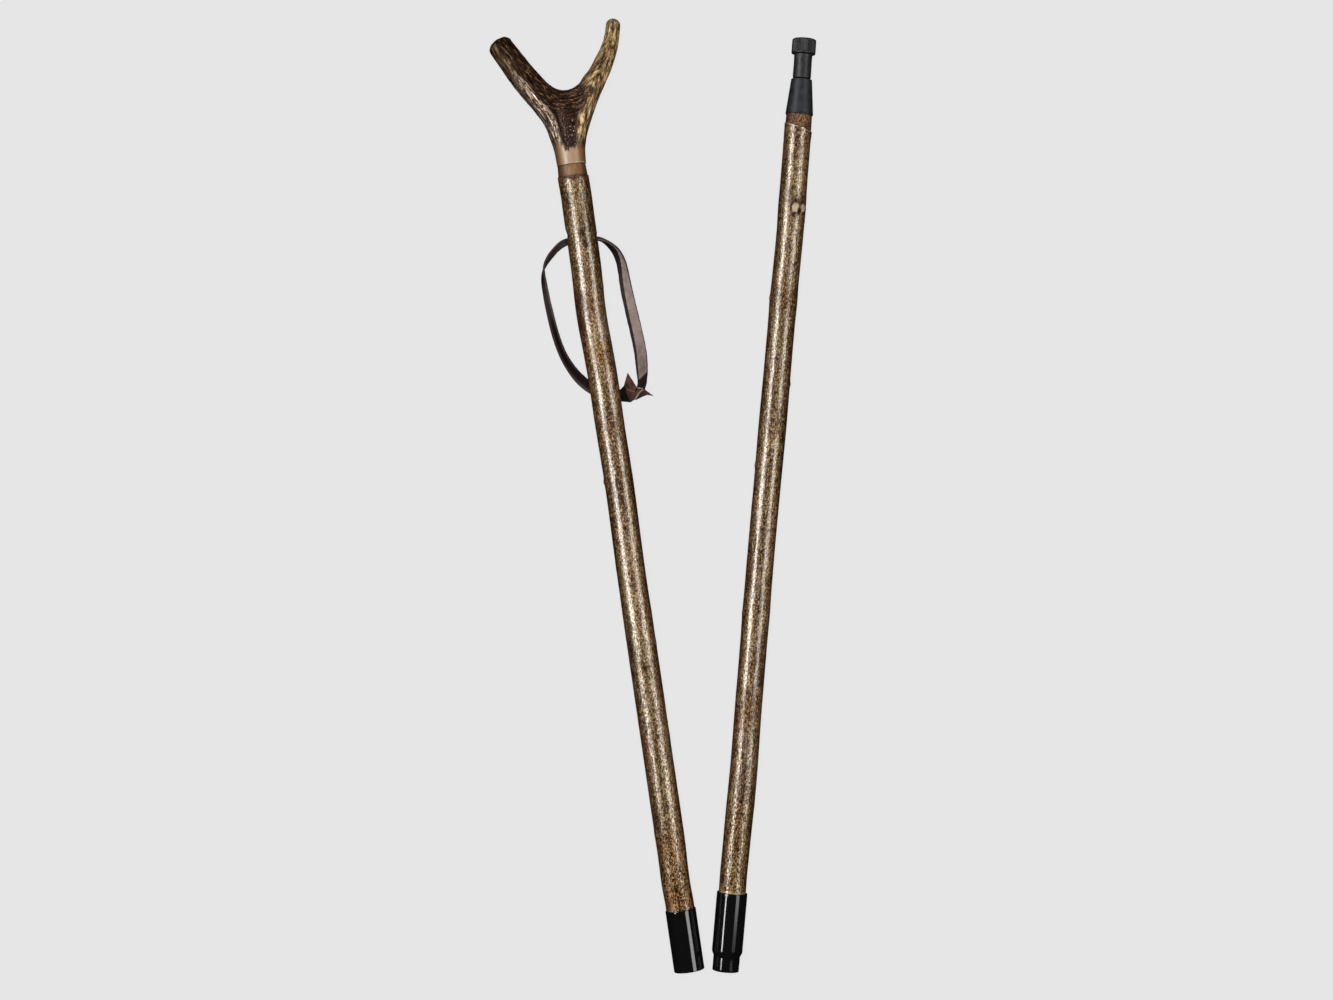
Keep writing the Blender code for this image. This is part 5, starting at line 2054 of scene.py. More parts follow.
# the inner edge of the fork, a smooth U; (station, across)
U_EDGE = [
    (891.0, -36.8),
    (883.6, -31.2),
    (875.7, -26.2),
    (868.2, -21.5),
    (860.5, -16.9),
    (854.3, -12.0),
    (849.3, -7.0),
    (845.7, -1.8),
    (844.1, 3.7),
    (844.5, 9.6),
    (846.8, 15.7),
    (851.0, 22.0),
    (858.9, 29.0),
    (869.2, 36.5),
    (881.2, 45.1),
]


def edge_rail(edge, count=90, cols=40, radius=7.9):
    """A round lip under the fork's inner edge, thinner where it runs into the arms."""
    line = curve_through(edge, count)
    run = np.gradient(line, axis=0)
    run /= np.linalg.norm(run, axis=1)[:, None]
    away = np.stack([-run[:, 1], run[:, 0]], axis=-1)  # into the antler
    share = np.linspace(0, 1, count)
    size = radius - 1.2 * np.exp(-(((share - 0.52) / 0.22) ** 2))
    size = size - 2.4 * ramp(share, 0.84, 1.0) - 2.0 * (1 - ramp(share, 0.0, 0.12))
    centre = line + away * (size - 0.25)[:, None]
    high = droop(centre[:, 0], 9.4)
    turn = np.linspace(0, TAU, cols, endpoint=False)
    return np.stack(
        [
            high[:, None] + size[:, None] * np.sin(turn),
            centre[:, 1:2] + (away[:, 1] * size)[:, None] * np.cos(turn),
            centre[:, 0:1] + (away[:, 0] * size)[:, None] * np.cos(turn),
        ],
        axis=-1,
    )


volumes = [
    arm_rings(THICK_ARM, 9.6, 7.75, flat_end=1.7),
    arm_rings(TINE, 6.8, 11.55),
    edge_rail(U_EDGE),
]
web = curve_through(WEB, 60)
turn = np.linspace(0, TAU, 48, endpoint=False)
volumes.append(
    np.stack(
        [
            droop(web[:, :1], 9.5) + web[:, 2:3] * np.sin(turn),
            web[:, 3:4] + web[:, 1:2] * np.cos(turn),
            web[:, :1] + 0 * turn,
        ],
        axis=-1,
    )
)
points, faces, start = [], [], 0
for ring_grid in volumes:
    rows, cols = ring_grid.shape[:2]
    points.append(ring_grid.reshape(-1, 3))
    faces += (grid_faces(rows, cols) + start).tolist()
    faces.append([start + j for j in range(cols)][::-1])
    faces.append([start + (rows - 1) * cols + j for j in range(cols)])
    start += rows * cols
raw = make_mesh("antler_raw", to_world(upper_matrix, np.concatenate(points)), faces)
raw_obj = bpy.data.objects.new("antler_raw", raw)
bpy.context.scene.collection.objects.link(raw_obj)
remesh = raw_obj.modifiers.new("skin", "REMESH")
remesh.mode = "VOXEL"
remesh.voxel_size = 0.68 * MM
soften = raw_obj.modifiers.new("soften", "SMOOTH")
soften.factor = 0.5
soften.iterations = 22
bpy.context.view_layer.update()
graph = bpy.context.evaluated_depsgraph_get()
antler_mesh = bpy.data.meshes.new_from_object(raw_obj.evaluated_get(graph))
bpy.data.objects.remove(raw_obj, do_unlink=True)

# cut its foot flat on the collar
form = bmesh.new()
form.from_mesh(antler_mesh)
foot_at = upper_matrix @ Vector((0, 0, 772.15 * MM))
foot_normal = (upper_matrix.to_3x3() @ Vector((0, 0, 1))).normalized()
cut = bmesh.ops.bisect_plane(
    form,
    geom=form.verts[:] + form.edges[:] + form.faces[:],
    plane_co=foot_at,
    plane_no=foot_normal,
    clear_inner=True,
)
rim = [e for e in cut["geom_cut"] if isinstance(e, bmesh.types.BMEdge)]
filled = bmesh.ops.contextual_create(form, geom=rim)
bmesh.ops.recalc_face_normals(form, faces=form.faces)
form.to_mesh(antler_mesh)
form.free()

count = len(antler_mesh.vertices)
co = np.empty(count * 3, np.float32)
antler_mesh.vertices.foreach_get("co", co)
co = co.reshape(-1, 3).astype(float)
normals = np.empty(count * 3, np.float32)
antler_mesh.vertices.foreach_get("normal", normals)
normals = normals.reshape(-1, 3).astype(float)
m = np.array(upper_matrix)
local = (co - m[:3, 3]) @ m[:3, :3] / MM  # up, across, along, mm
up_, a_, z_ = local.T


def along_line(line):
    """Signed distance from a line of (station, across) points, right of it positive, and the
    distance run along it from its lower end."""
    fine = curve_through(line, 90)
    seg = np.diff(fine, axis=0)
    length = np.linalg.norm(seg, axis=1)
    run = np.concatenate([[0], np.cumsum(length)])
    best = np.full(len(z_), 1e9)
    signed = np.zeros(len(z_))
    along = np.zeros(len(z_))
    p = np.stack([z_, a_], axis=-1)
    for k in range(len(seg)):
        rel = p - fine[k]
        t = (rel @ seg[k]) / length[k] ** 2
        t_in = np.clip(t, 0 if k else -9, 1 if k < len(seg) - 1 else 9)
        off = rel - t_in[:, None] * seg[k]
        d = np.linalg.norm(off, axis=1)
        closer = d < best
        side = seg[k][0] * rel[:, 1] - seg[k][1] * rel[:, 0]
        best = np.where(closer, d, best)
        signed = np.where(closer, np.sign(side) * d, signed)
        along = np.where(closer, run[k] + t_in * length[k], along)
    return signed, along


LEFT_RIDGE = [
    (770.0, -4.8),
    (787.2, -6.3),
    (798.3, -8.2),
    (813.1, -11.4),
    (824.9, -16.3),
    (836.9, -23.3),
    (850.3, -30.4),
    (865.6, -39.0),
    (880.1, -47.2),
    (893.1, -53.9),
    (901.0, -57.8),
]
LEFT_VALLEY = [
    (778.5, -3.4),
    (786.0, -4.2),
    (797.8, -4.8),
    (812.3, -6.0),
    (823.6, -7.6),
    (835.3, -12.5),
    (848.4, -19.4),
    (864.0, -28.2),
    (880.0, -39.1),
    (896.7, -47.6),
    (902.0, -50.5),
]
INNER_RIDGE = [
    (899.0, -40.7),
    (878.9, -31.5),
    (863.1, -21.7),
    (850.6, -11.4),
    (841.0, 1.5),
    (843.2, 16.2),
    (852.0, 26.0),
    (864.0, 35.0),
]
TINE_RIDGE = [
    (770.0, 10.5),
    (789.9, 11.7),
    (802.8, 13.6),
    (815.4, 18.2),
    (824.5, 23.4),
    (833.5, 29.6),
    (847.9, 36.7),
    (865.5, 44.8),
    (877.8, 51.0),
    (891.1, 57.2),
    (903.0, 60.0),
]
TINE_CRACKS = [
    [(851.2, 29.5), (858.5, 34.5), (866.0, 39.5)],
    [(858.5, 39.9), (866.0, 43.2), (874.0, 48.3)],
    [(884.0, 50.5), (892.0, 53.0), (897.0, 54.6)],
    [(838.0, 27.5), (845.0, 31.0), (853.0, 35.0)],
]
ridge_d, ridge_t = along_line(LEFT_RIDGE)
valley_d, valley_t = along_line(LEFT_VALLEY)
inner_d, inner_t = along_line(INNER_RIDGE)
tine_d, tine_t = along_line(TINE_RIDGE)

arm_z = ramp(z_, 838, 852)
left_side = ramp(tine_d - (-ridge_d), 6, -6)  # 1 nearer the left ridge than the tine's
left_side = ramp(np.abs(tine_d) - np.abs(ridge_d), -4, 4)
near_u = np.exp(-((inner_d / 8.0) ** 2)) * ramp(z_, 832, 842) * (1 - ramp(z_, 858, 872))
flow_d = left_side * ridge_d + (1 - left_side) * tine_d
flow_t = left_side * ridge_t + (1 - left_side) * tine_t
flow_d = flow_d * (1 - near_u) + inner_d * near_u
flow_t = flow_t * (1 - near_u) + inner_t * near_u
flow = np.stack([flow_d, up_ * 1.0, flow_t], axis=-1)
body_at = np.stack([up_, a_, z_], axis=-1)

# what is where
low_down = 1 - ramp(z_, 790, 812)
web_rim = 1.7 * rough_noise(flow, (1.4, 1.4, 5.0), 371, 3) * (1 - ramp(z_, 838, 856))
web_zone = (
    ramp(ridge_d + 1.3 * low_down + web_rim, 2.6, 5.2)
    * ramp(-tine_d + 1.3 * low_down + web_rim, 2.4, 6.2)
    * ramp(z_, 777, 784)
    * (1 - ramp(z_ + 0.55 * (a_ - 14.0), 842, 860) * (1 - left_side))
    * (1 - ramp(z_, 862, 884))
)
teeth = 784.5 + 3.8 * smooth_noise(
    np.stack([a_, up_ * 0.6, 0 * z_], -1), (2.4, 2.4, 1.0), 301
)
teeth += 2.5 * smooth_noise(np.stack([a_, up_ * 0.6, 0 * z_], -1), (1.1, 1.1, 1.0), 302)
web_zone = web_zone * ramp(z_ - teeth, -0.8, 1.6)
neck_zone = 1 - ramp(z_ - teeth - 3.5 * np.abs(a_ - 2) / 12, -2.0, 7.0)
neck_zone = np.maximum(neck_zone, (1 - ramp(z_, 788, 801)) * ramp(np.abs(ridge_d + 1.5), 6.5, 3.0) * 0.0)
on_tine = (1 - left_side) * ramp(z_, 800, 835)
ragged = rough_noise(flow, (1.6, 1.6, 9.0), 351, 3)
ridge_half = 5.3 - 2.3 * ramp(z_, 842, 888)
ridge_mask = np.exp(-(((ridge_d + 0.9 + 2.2 * ragged) / ridge_half) ** 4)) * ramp(z_, 779, 792)
ridge_mask *= 0.08 + 0.92 * (1 - ramp(z_, 866, 892))
tine_mask = np.exp(-(((tine_d - 0.2 + 1.2 * ragged) / 6.4) ** 4)) * ramp(z_, 785, 800)
outer_left = ramp(-ridge_d, 3.0, 6.0) * left_side
inner_band = np.exp(-(((inner_d - 0.0) / 4.0) ** 2)) * ramp(z_, 836, 850)
valley_mask = np.exp(-((valley_d / 3.2) ** 2)) * ramp(z_, 786, 800)
valley_mask *= 1 - 0.9 * ramp(z_, 862, 888)

# relief: ridges and the valley between them, then grooves along the grain, then pearling
lift = 0.95 * np.exp(-((ridge_d / 3.4) ** 2)) * ramp(z_, 786, 806) * (1 - ramp(z_, 880, 897))
lift += 0.55 * np.exp(-((tine_d / 3.2) ** 2)) * ramp(z_, 790, 812) * (1 - ramp(z_, 885, 902))
lift -= 1.1 * valley_mask * (0.5 + 0.5 * ramp(z_, 800, 830))
lift -= 0.5 * web_zone
not_neck = ramp(z_ - teeth, -1.0, 5.0)
grooves = rough_noise(flow, (1.5, 1.5, 17.0), 311, 3)
deep = np.clip(np.abs(rough_noise(flow, (2.1, 2.1, 30.0), 321, 2)) * 3.2, 0, 1)
strong = np.clip(
    0.45 + 0.25 * ramp(z_, 850, 880) * left_side + 0.25 * on_tine, 0, 1
)
lift += (0.18 * grooves - 0.34 * (1 - deep) * strong) * not_neck
lift += 0.12 * rough_noise(body_at, (5.0, 5.0, 7.0), 331, 2) * not_neck

pearl = np.zeros(count)
chosen = np.nonzero(web_zone > 0.02)[0]
for k in chosen:
    d, where = noise.voronoi(
        Vector((flow[k, 0] / 1.9, flow[k, 1] / 1.9, flow[k, 2] / 3.0))
    )
    pearl[k] = max(0.0, 1.0 - 1.25 * d[0]) * min(1.0, (d[1] - d[0]) * 3.0)
pearl *= 0.18 + 0.82 * np.exp(-(((z_ - 800.0) / 19.0) ** 2)) * np.exp(-(((a_ - 3.0) / 11.0) ** 2))
lift += 0.80 * pearl * web_zone
# above the pearls the web is combed along the fork's inner edge
edge_d, edge_t = along_line([(z, a) for z, a in U_EDGE])
web_flow = np.stack([edge_d, up_, edge_t], axis=-1)
comb = np.clip(np.abs(rough_noise(web_flow, (1.6, 1.6, 15.0), 361, 2)) * 3.2, 0, 1)
lift -= 0.32 * (1 - comb) * web_zone * ramp(z_, 806, 820)
arm_end = ramp(z_ + 0.5 * np.clip(ridge_d, 0, 14), 869, 890) * left_side
# a golden band goes on from the ridge nearly to the sawn end
end_band = (
    np.exp(-(((ridge_d + 2.6 + 1.6 * ragged) / 3.1) ** 4))
    * ramp(z_, 850, 872)
    * (1 - 0.6 * ramp(z_, 890, 899))
    * left_side
)
arm_end = arm_end * (1 - 0.8 * end_band)
warts = np.zeros(count)
chosen = np.nonzero((not_neck > 0.3) & (web_zone < 0.6))[0]
for k in chosen:
    d, where = noise.voronoi(
        Vector((flow[k, 0] / 3.6, flow[k, 1] / 3.6, flow[k, 2] / 8.0))
    )
    warts[k] = max(0.0, 1.0 - 2.2 * d[0])
lift += 0.35 * warts * not_neck * (1 - web_zone)
cracks = np.zeros(count)
for line in TINE_CRACKS:
    d, t = along_line(line)
    span = sum(
        math.dist(line[k], line[k + 1]) for k in range(len(line) - 1)
    )
    inside = ramp(t, -0.5, 1.5) * (1 - ramp(t, span - 1.5, span + 0.5))
    cracks = np.maximum(cracks, np.exp(-((d / 0.7) ** 2)) * inside * (up_ > -2))
lift -= 0.55 * cracks
lift *= ramp(z_, 771.8, 776.0)
co += normals * (lift * MM)[:, None]
antler_mesh.vertices.foreach_set("co", co.astype(np.float32).reshape(-1))
antler_mesh.update()

fine_lines = rough_noise(flow, (0.9, 0.9, 12.0), 341, 3)
valley_line = np.exp(-((valley_d / 1.5) ** 2)) * ramp(z_, 778.5, 782) * (1 - ramp(z_, 846, 866))
crack_mask = np.clip(
    cracks * 0.9
    + 0.8 * valley_line * (up_ > -2)
    + (1 - deep) * 0.9 * (strong + 0.25 * ridge_mask) * ramp(fine_lines, -0.4, 0.1) * not_neck
    + np.clip(fine_lines - 0.18, 0, 1) * 2.4 * not_neck * (ridge_mask + 0.8 * tine_mask + 0.3),
    0,
    0.95,
)
gold_mask = np.clip(
    tine_mask * (1 - 0.3 * ramp(z_, 880, 900))
    + 0.8 * on_tine
    + 0.35 * np.clip(ragged + 0.05, 0, 1) * outer_left
    + 0.85 * end_band
    + 1.0 * ramp(z_, 864, 884) * left_side * np.clip(ragged * 2.6 - 0.42, 0, 1),
    0,
    1,
) * (1 - web_zone)
mid_mask = np.clip(
    0.65 * inner_band * (1 - web_zone) + 0.30 * outer_left + 0.2 * ramp(z_, 850, 880) * left_side
    - 0.6 * valley_mask,
    0,
    1,
)
grey_mask = np.clip(
    0.45 * ramp(-tine_d, 5.0, 9.0) * on_tine * ramp(z_, 852, 866)
    + 0.35 * ramp(z_, 892, 904) * (1 - left_side),
    0,
    0.8,
)
ridge_mask *= 1 - web_zone
neck_zone = np.clip(neck_zone, 0, 1) * (1 - web_zone)
for key, values in {
    "flow": flow * MM,
    "ridge": ridge_mask,
    "gold": gold_mask,
    "mid": mid_mask,
    "grey": grey_mask,
    "neck": neck_zone,
    "web": web_zone,
    "webflow": web_flow * MM,
    "pearl": pearl * web_zone,
    "armend": arm_end,
    "across": np.stack([a_, up_, z_], -1) * MM,
    "crack": crack_mask * (1 - neck_zone),
}.items():
    values = np.asarray(values, np.float32)
    if values.ndim > 1:
        layer = antler_mesh.attributes.new(key, "FLOAT_VECTOR", "POINT")
        layer.data.foreach_set("vector", values.reshape(-1))
    else:
        layer = antler_mesh.attributes.new(key, "FLOAT", "POINT")
        layer.data.foreach_set("value", values)
antler_mesh.materials.clear()
antler_mesh.shade_smooth()
antler_mesh.set_sharp_from_angle(angle=math.radians(60))
make_object(
    "antler", antler_mesh, "upper_section", "antler", "antler_fork", materials=(ANTLER,)
)

# ------------------------------------------------------------------ wrist strap

# the strap's route, from the knot up the right strand, through the cross hole and down the
# left strand to the knot again: (across, station, height above the surface, width,
# thickness, lean of the ribbon: 0 lies flat, 90 stands on edge, over 90 leans inwards)
ROUTE = (
    (33.5, 551.9, 4.4, 8.0, 2.4, 20),
    (36.6, 558.9, 4.4, 9.0, 2.2, 24),
    (38.2, 570.9, 3.7, 11.4, 2.0, 20),
    (39.0, 586.9, 3.0, 12.0, 2.0, 12),
    (38.3, 602.9, 3.0, 12.0, 2.0, 11),
    (37.0, 618.9, 3.6, 12.0, 2.0, 13),
    (35.7, 633.9, 5.2, 12.0, 2.0, 18),
    (34.6, 650.9, 8.0, 12.0, 2.0, 26),
    (34.2, 664.9, 10.8, 12.0, 2.0, 38),
    (33.3, 675.9, 13.0, 12.0, 2.0, 48),
    (30.2, 685.5, 15.2, 11.6, 2.0, 58),
    (25.2, 692.5, 16.8, 10.6, 2.1, 72),
    (19.6, 697.5, 17.6, 8.6, 2.4, 84),
    (15.0, 699.7, 17.8, 6.6, 2.8, 88),
    (8.0, 700.5, 17.9, 6.2, 3.2, 90),
    (0.0, 700.5, 17.9, 6.2, 3.2, 90),
    (-7.0, 700.5, 17.9, 6.2, 3.0, 74),
    (-12.6, 701.0, 17.9, 6.8, 2.7, 48),
    (-16.4, 700.4, 17.7, 7.6, 2.5, 50),
    (-20.6, 698.9, 17.2, 8.8, 2.3, 59),
    (-26.6, 695.1, 16.0, 10.6, 2.1, 70),
    (-33.0, 689.5, 13.8, 11.8, 2.0, 75),
    (-38.4, 682.9, 11.6, 12.0, 2.0, 85),
    (-41.2, 676.1, 9.8, 12.0, 2.0, 99),
    (-42.3, 667.5, 8.3, 12.0, 2.0, 111),
    (-42.1, 652.9, 7.0, 12.0, 2.0, 115),
    (-41.1, 637.9, 6.4, 12.0, 2.0, 118),
    (-39.6, 621.9, 6.2, 12.0, 2.0, 120),
    (-37.0, 605.9, 6.1, 12.0, 2.0, 123),
    (-33.6, 593.5, 5.9, 12.0, 2.0, 126),
    (-28.8, 582.3, 5.5, 12.0, 2.0, 132),
    (-23.4, 573.1, 4.9, 11.8, 2.0, 142),
    (-16.6, 564.7, 3.6, 11.2, 2.0, 155),
    (-8.2, 557.5, 1.9, 10.4, 2.0, 173),
    (1.0, 552.5, 1.35, 9.6, 2.0, 179),
    (10.5, 549.9, 1.35, 9.0, 2.0, 180),
    (19.0, 549.3, 1.6, 8.6, 2.0, 180),
)


def on_surface(across, station, height):
    """World point, mm, over a place of the upper section at a height above the surface."""
    lie = upper_matrix @ Vector((0.0, across * MM, station * MM))
    return np.array([lie.x / MM, lie.y / MM, height])


def ribbon(name, route, samples, cup=0.0, hem=None, seed=1, taper=None, edge_wear=0.5):
    """A strip of leather along a route. The face on the route's left-hand side is the flesh
    side, slot 1; the other is the grain side, slot 0; the cut edges are slot 2. hem(share)
    gives how far a folded grain hem reaches over the flesh side, 0 to 1 of the width."""
    line = curve_through(route, samples)
    centres = np.array([on_surface(*row[:3]) for row in line])
    run = np.gradient(centres, axis=0)
    run /= np.linalg.norm(run, axis=1)[:, None]
    outward = np.cross(run, [0.0, 0.0, 1.0])
    outward /= np.linalg.norm(outward, axis=1)[:, None]
    rise = np.cross(outward, run)
    lean = np.radians(line[:, 5])[:, None]
    wide = outward * np.cos(lean) + rise * np.sin(lean)
    face = np.cross(wide, run)
    half_w, half_t = line[:, 3] / 2, line[:, 4] / 2
    step = np.linalg.norm(np.diff(centres, axis=0), axis=1)
    length = np.concatenate([[0], np.cumsum(step)])
    # the section: q runs across the width, side is +1 on the flesh face and -1 on the grain;
    # column 7 of the flesh face follows the hem's rim
    share = hem(length / length[-1]) if hem is not None else np.full(samples, 0.5)
    rim_q = np.clip(-1 + 2 * share, -0.925, 0.925)
    part = np.linspace(0, 1, 7)
    inner = [-0.93 + (rim_q + 0.93) * t for t in part]
    inner += [rim_q + (0.93 - rim_q) * t for t in part[1:]]
    qs = [np.full(samples, -1.0), *inner, np.full(samples, 1.0)]
    half = len(qs)
    section = [(q, 0.45 if j in (0, half - 1) else 1.0) for j, q in enumerate(qs)]
    section += [(q, -side) for q, side in section[::-1]]
    cols = len(section)
    points = np.zeros((samples, cols, 3))
    hide = np.zeros((samples, cols, 3))
    for j, (q, side) in enumerate(section):
        offset = side * half_t + cup * (q * q - 0.4)
        if hem is not None and side > 0:
            raised = 1.0 if j < 7 else 0.5 if j == 7 else 0.0
            offset = offset + 0.45 * raised * ramp(share, 0.02, 0.10)
        points[:, j] = centres + wide * (q * half_w)[:, None] + face * offset[:, None]
        hide[:, j] = np.stack([q * half_w, length, side * half_t + 20 * (side > 0)], -1)
    at = np.stack([hide[..., 0], hide[..., 1], 0 * hide[..., 0]], -1)
    ripple = rough_noise(at, (6.0, 16.0, 1.0), seed, 3)
    for j in range(cols):
        points[:, j] += face * (0.22 * ripple[:, j])[:, None]
        if j in (0, 1, half - 2, half - 1, half, half + 1, cols - 2, cols - 1):
            nick = smooth_noise(at[:, j], (1.0, 2.2, 1.0), seed + 3)
            outward = -1 if j in (0, 1, cols - 2, cols - 1) else 1
            points[:, j] += wide * (0.14 * nick * outward)[:, None]
    points[..., 2] = np.maximum(points[..., 2], 0.1)
    faces = grid_faces(samples, cols).tolist()
    slots = []
    for row in range(samples - 1):
        for j in range(cols):
            if j in (0, half - 2, half - 1, half, cols - 2, cols - 1):
                slots.append(2)
            elif j < half:
                slots.append(0 if hem is not None and j < 7 and share[row] > 0.02 else 1)
            else:
                slots.append(0)
    faces.append(list(range(cols))[::-1])
    faces.append([(samples - 1) * cols + j for j in range(cols)])
    slots += [2, 2]
    soil = np.zeros((samples, cols))
    mesh = make_mesh(name, points * MM, faces, {"hide": hide * MM, "soil": soil}, 50)
    # recalculation keeps the faces' order, so the slots still fit
    mesh.polygons.foreach_set("material_index", np.array(slots, np.int32))
    return mesh, length


def strap_hem(share):
    """How much of the right strand's flesh side the folded hem covers."""
    places = [0.0, 0.07, 0.125, 0.19, 0.25, 0.29, 0.32, 0.345, 0.37, 0.39, 0.46, 0.475]
    widths = [0.17, 0.19, 0.24, 0.27, 0.32, 0.39, 0.50, 0.68, 0.88, 1.0, 1.0, 0.0]
    return np.interp(share, places, widths)


strap_mesh, strap_length = ribbon("strap", ROUTE, 384, cup=0.35, hem=strap_hem, seed=401)
# soil and painted shade: darker towards the knot and where the left strand leaves the hole
soil = np.zeros(len(strap_mesh.vertices), np.float32)
hide = np.zeros(len(strap_mesh.vertices) * 3, np.float32)
strap_mesh.attributes["hide"].data.foreach_get("vector", hide)
hide = hide.reshape(-1, 3) / MM
share = hide[:, 1] / strap_length[-1]
blackened = 13.0 + 0.85 * hide[:, 0] + 1.2 * smooth_noise(hide, (3.0, 3.0, 50.0), 409)
soil += 1.0 - ramp(hide[:, 1] - blackened, -1.0, 1.0)
soil += 0.30 * np.exp(-(((share - 0.06) / 0.05) ** 2)) + 0.12 * (1 - ramp(share, 0.1, 0.26))
soil += 0.97 * ramp(share, 0.44, 0.48) * (1 - ramp(share, 0.62, 0.66))
soil += 0.35 * np.exp(-(((share - 0.38) / 0.025) ** 2))
# the left strand is painted black along its upper edge, a painted shade, and lighter brown along its lower, outer edge,
# a painted sheen
soil += 0.95 * ramp(hide[:, 0], -3.0, 0.5) * ramp(share, 0.66, 0.72)
rubbed_to = -1.5 + 4.0 * ramp(share, 0.64, 0.86)
rub = 0.9 * ramp(-hide[:, 0] - rubbed_to, -1.0, 2.0) * ramp(share, 0.60, 0.66)
rub = np.maximum(rub, 0.6 * ramp(share, 0.60, 0.63) * (1 - ramp(share, 0.66, 0.74)))
# between the hole and the twist its middle is rubbed brown
middle = 1 - ramp(np.abs(hide[:, 0] + 0.5), 2.2, 4.6)
rub = np.maximum(rub, 0.85 * middle * ramp(share, 0.485, 0.50) * (1 - ramp(share, 0.58, 0.62)))
strap_mesh.attributes["soil"].data.foreach_set("value", np.clip(soil, 0, 1).astype(np.float32))
layer = strap_mesh.attributes.new("rub", "FLOAT", "POINT")
layer.data.foreach_set("value", np.clip(rub, 0, 1).astype(np.float32))
make_object(
    "strap",
    strap_mesh,
    "strap",
    "brown_leather",
    "wrist_strap",
    materials=(GRAIN_SIDE, FLESH_SIDE, DARK_EDGE),
)

# the knot: the strap's folds, a cut end that stands up between them and a cut tail


def fold(name, corners, thickness, slots, seed, puff=0.5, pale=(), rings=12, gap=0.55):
    """A straight-edged piece of leather, from its corners (across, station, height) as seen
    from above. Its middle is raised by puff. pale numbers the edges whose raw cut shows."""
    corners = np.array(corners, float)
    count = len(corners)
    rim, edge_of = [], []
    for i in range(count):
        a, b = corners[i], corners[(i + 1) % count]
        parts = max(2, int(round(np.linalg.norm(b - a) / gap)))
        for k in range(parts):
            rim.append(a + (b - a) * k / parts)
            edge_of.append(i)
    rim = np.array(rim)
    cols = len(rim)
    middle = corners.mean(axis=0)
    share = np.linspace(0, 1, rings + 1)[1:]
    flat = middle + (rim - middle)[None] * share[:, None, None]
    at = np.concatenate([flat[..., :2], 0 * flat[..., :1]], -1)
    crease = rough_noise(at, (3.4, 3.4, 1.0), seed, 3)
    flat[..., 2] += puff * (1 - share[:, None] ** 2) + 0.32 * crease
    nick = smooth_noise(at[-1], (1.3, 1.3, 1.0), seed + 5)
    flat[-1, :, :2] += 0.13 * nick[:, None]
    under = flat - np.array([0, 0, thickness])
    # the raw edge is rounded over a little
    lip = flat[-1:] + (flat[-1:] - middle) * [0.012, 0.012, 0] - [0, 0, 0.3 * thickness]
    layers = np.concatenate([flat, lip, under[::-1]])
    rows = len(layers)
    ids = np.arange(rows * cols).reshape(rows, cols)
    faces = grid_faces(rows, cols).tolist()
    slot_of = []
    for row in range(rows - 1):
        for j in range(cols):
            if row < rings - 1:
                bare = row >= rings - 3 and edge_of[j] in pale
                slot_of.append(3 if bare else 0)
            elif row <= rings:
                slot_of.append(2)
            else:
                slot_of.append(1)
    places = [on_surface(*p) for p in layers.reshape(-1, 3)]
    top_mid = middle + [0, 0, puff]
    places.append(on_surface(*top_mid))
    places.append(on_surface(*(top_mid - [0, 0, thickness])))
    for j in range(cols):
        k = (j + 1) % cols
        faces.append([rows * cols, int(ids[0, j]), int(ids[0, k])])
        slot_of.append(0)
        faces.append([rows * cols + 1, int(ids[-1, k]), int(ids[-1, j])])
        slot_of.append(1)
    places = np.array(places)
    places[:, 2] = np.maximum(places[:, 2], 0.1)
    hide = np.concatenate([layers.reshape(-1, 3), [top_mid, top_mid]])
    mesh = make_mesh(
        name, places * MM, faces, {"hide": hide * MM, "soil": np.zeros(len(hide))}, 50
    )
    mesh.polygons.foreach_set("material_index", np.array(slot_of, np.int32))
    make_object(name, mesh, "strap", "brown_leather", materials=slots)


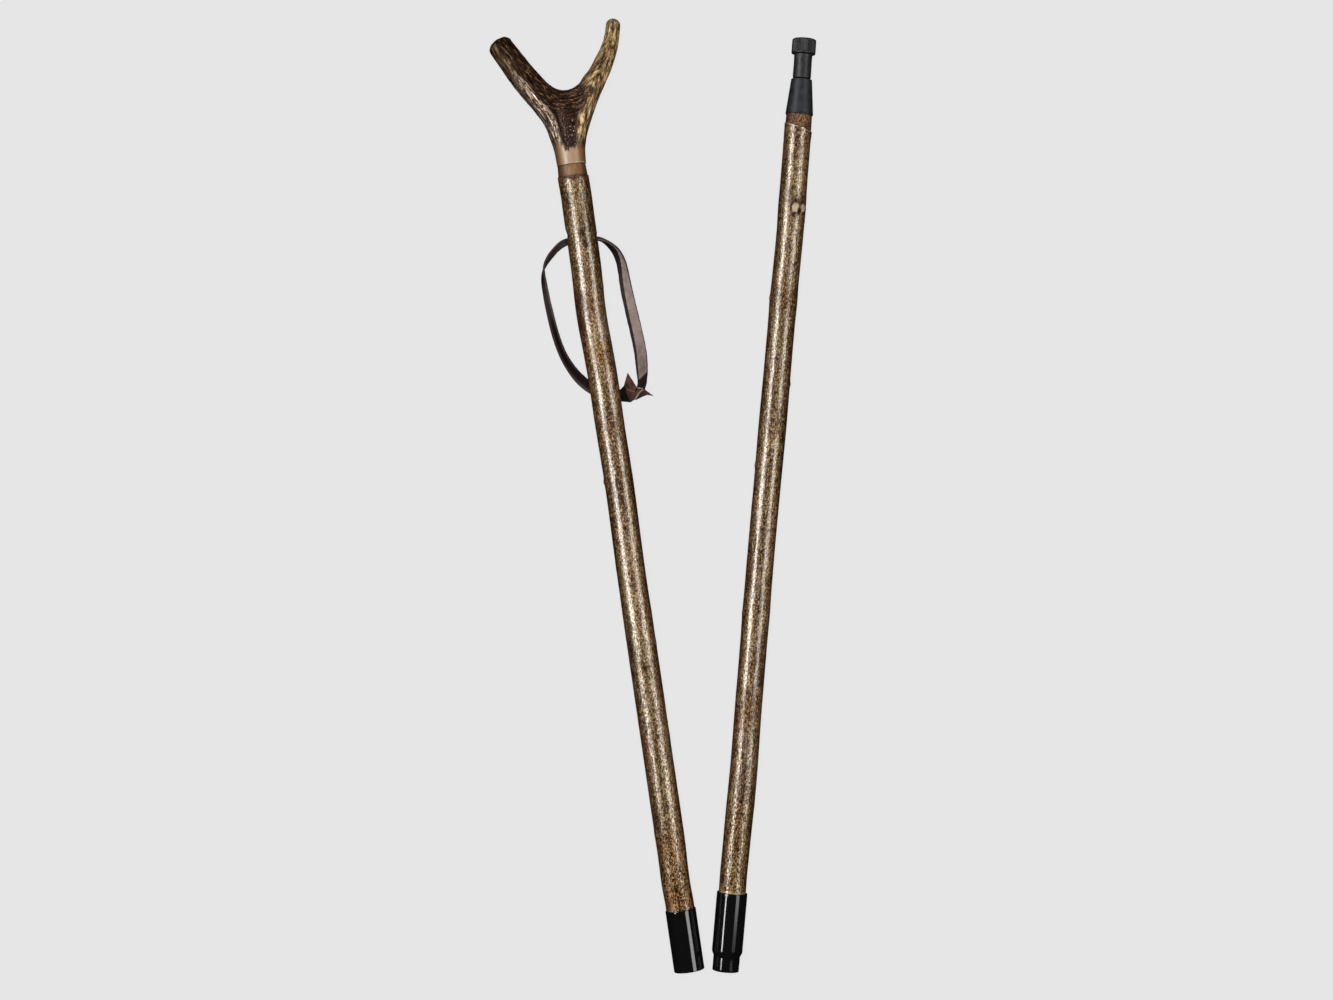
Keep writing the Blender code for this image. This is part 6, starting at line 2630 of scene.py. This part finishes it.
fold(
    "knot_core",
    [
        (14.2, 553.8, 4.4),
        (18.8, 557.6, 5.6),
        (30.2, 555.0, 6.0),
        (37.6, 552.6, 5.4),
        (38.4, 547.4, 4.6),
        (34.1, 546.0, 4.8),
        (28.2, 544.1, 5.0),
        (22.8, 542.8, 4.8),
        (15.0, 544.9, 4.0),
    ],
    3.2,
    (GRAIN_SIDE, GRAIN_SIDE, DARK_EDGE),
    441,
)
fold(
    "knot_near_fold",
    [
        (13.5, 554.4, 4.6),
        (18.8, 558.4, 7.0),
        (20.6, 555.3, 8.0),
        (20.9, 549.0, 8.2),
        (22.8, 542.0, 6.4),
        (14.3, 544.2, 4.2),
    ],
    1.9,
    (GRAIN_SIDE, GRAIN_SIDE, DARK_EDGE),
    442,
)
fold(
    "knot_far_fold",
    [
        (30.9, 555.2, 7.4),
        (38.1, 553.3, 6.2),
        (39.0, 551.1, 5.8),
        (45.3, 544.9, 3.4),
        (39.1, 546.7, 4.8),
        (34.1, 545.3, 5.6),
        (28.2, 543.4, 6.4),
        (30.0, 548.6, 8.0),
    ],
    1.9,
    (DARK_SUEDE, GRAIN_SIDE, DARK_EDGE, PALE_EDGE),
    443,
    pale=(0,),
)
fold(
    "knot_flap",
    [
        (24.1, 570.2, 7.4),
        (18.6, 558.0, 8.6),
        (20.3, 554.8, 9.0),
        (28.1, 550.2, 9.0),
        (30.5, 555.9, 8.8),
    ],
    1.9,
    (BROWN_SUEDE, GRAIN_SIDE, DARK_EDGE),
    444,
    puff=0.7,
)
fold(
    "knot_front_fold",
    [
        (20.0, 555.7, 9.4),
        (28.2, 551.0, 9.7),
        (31.0, 552.4, 9.2),
        (31.0, 548.2, 9.0),
        (28.0, 544.6, 8.2),
        (23.0, 542.0, 7.0),
        (20.6, 547.8, 8.9),
    ],
    1.9,
    (DARK_SUEDE, GRAIN_SIDE, DARK_EDGE, BROWN_EDGE),
    445,
    puff=0.6,
    pale=(0,),
)
LIP = (
    (36.4, 551.6, 7.4, 1.3, 1.4, 0),
    (34.6, 551.2, 8.3, 1.4, 1.4, 0),
    (32.4, 549.8, 9.2, 1.4, 1.4, 0),
    (30.4, 547.7, 9.3, 1.4, 1.4, 0),
    (28.9, 545.6, 8.6, 1.3, 1.4, 0),
    (27.8, 543.9, 7.8, 1.0, 1.2, 0),
)
mesh, _ = ribbon("knot_lip", LIP, 30, seed=451)
make_object(
    "knot_lip", mesh, "strap", "brown_leather", materials=(PALE_EDGE, PALE_EDGE, PALE_EDGE)
)
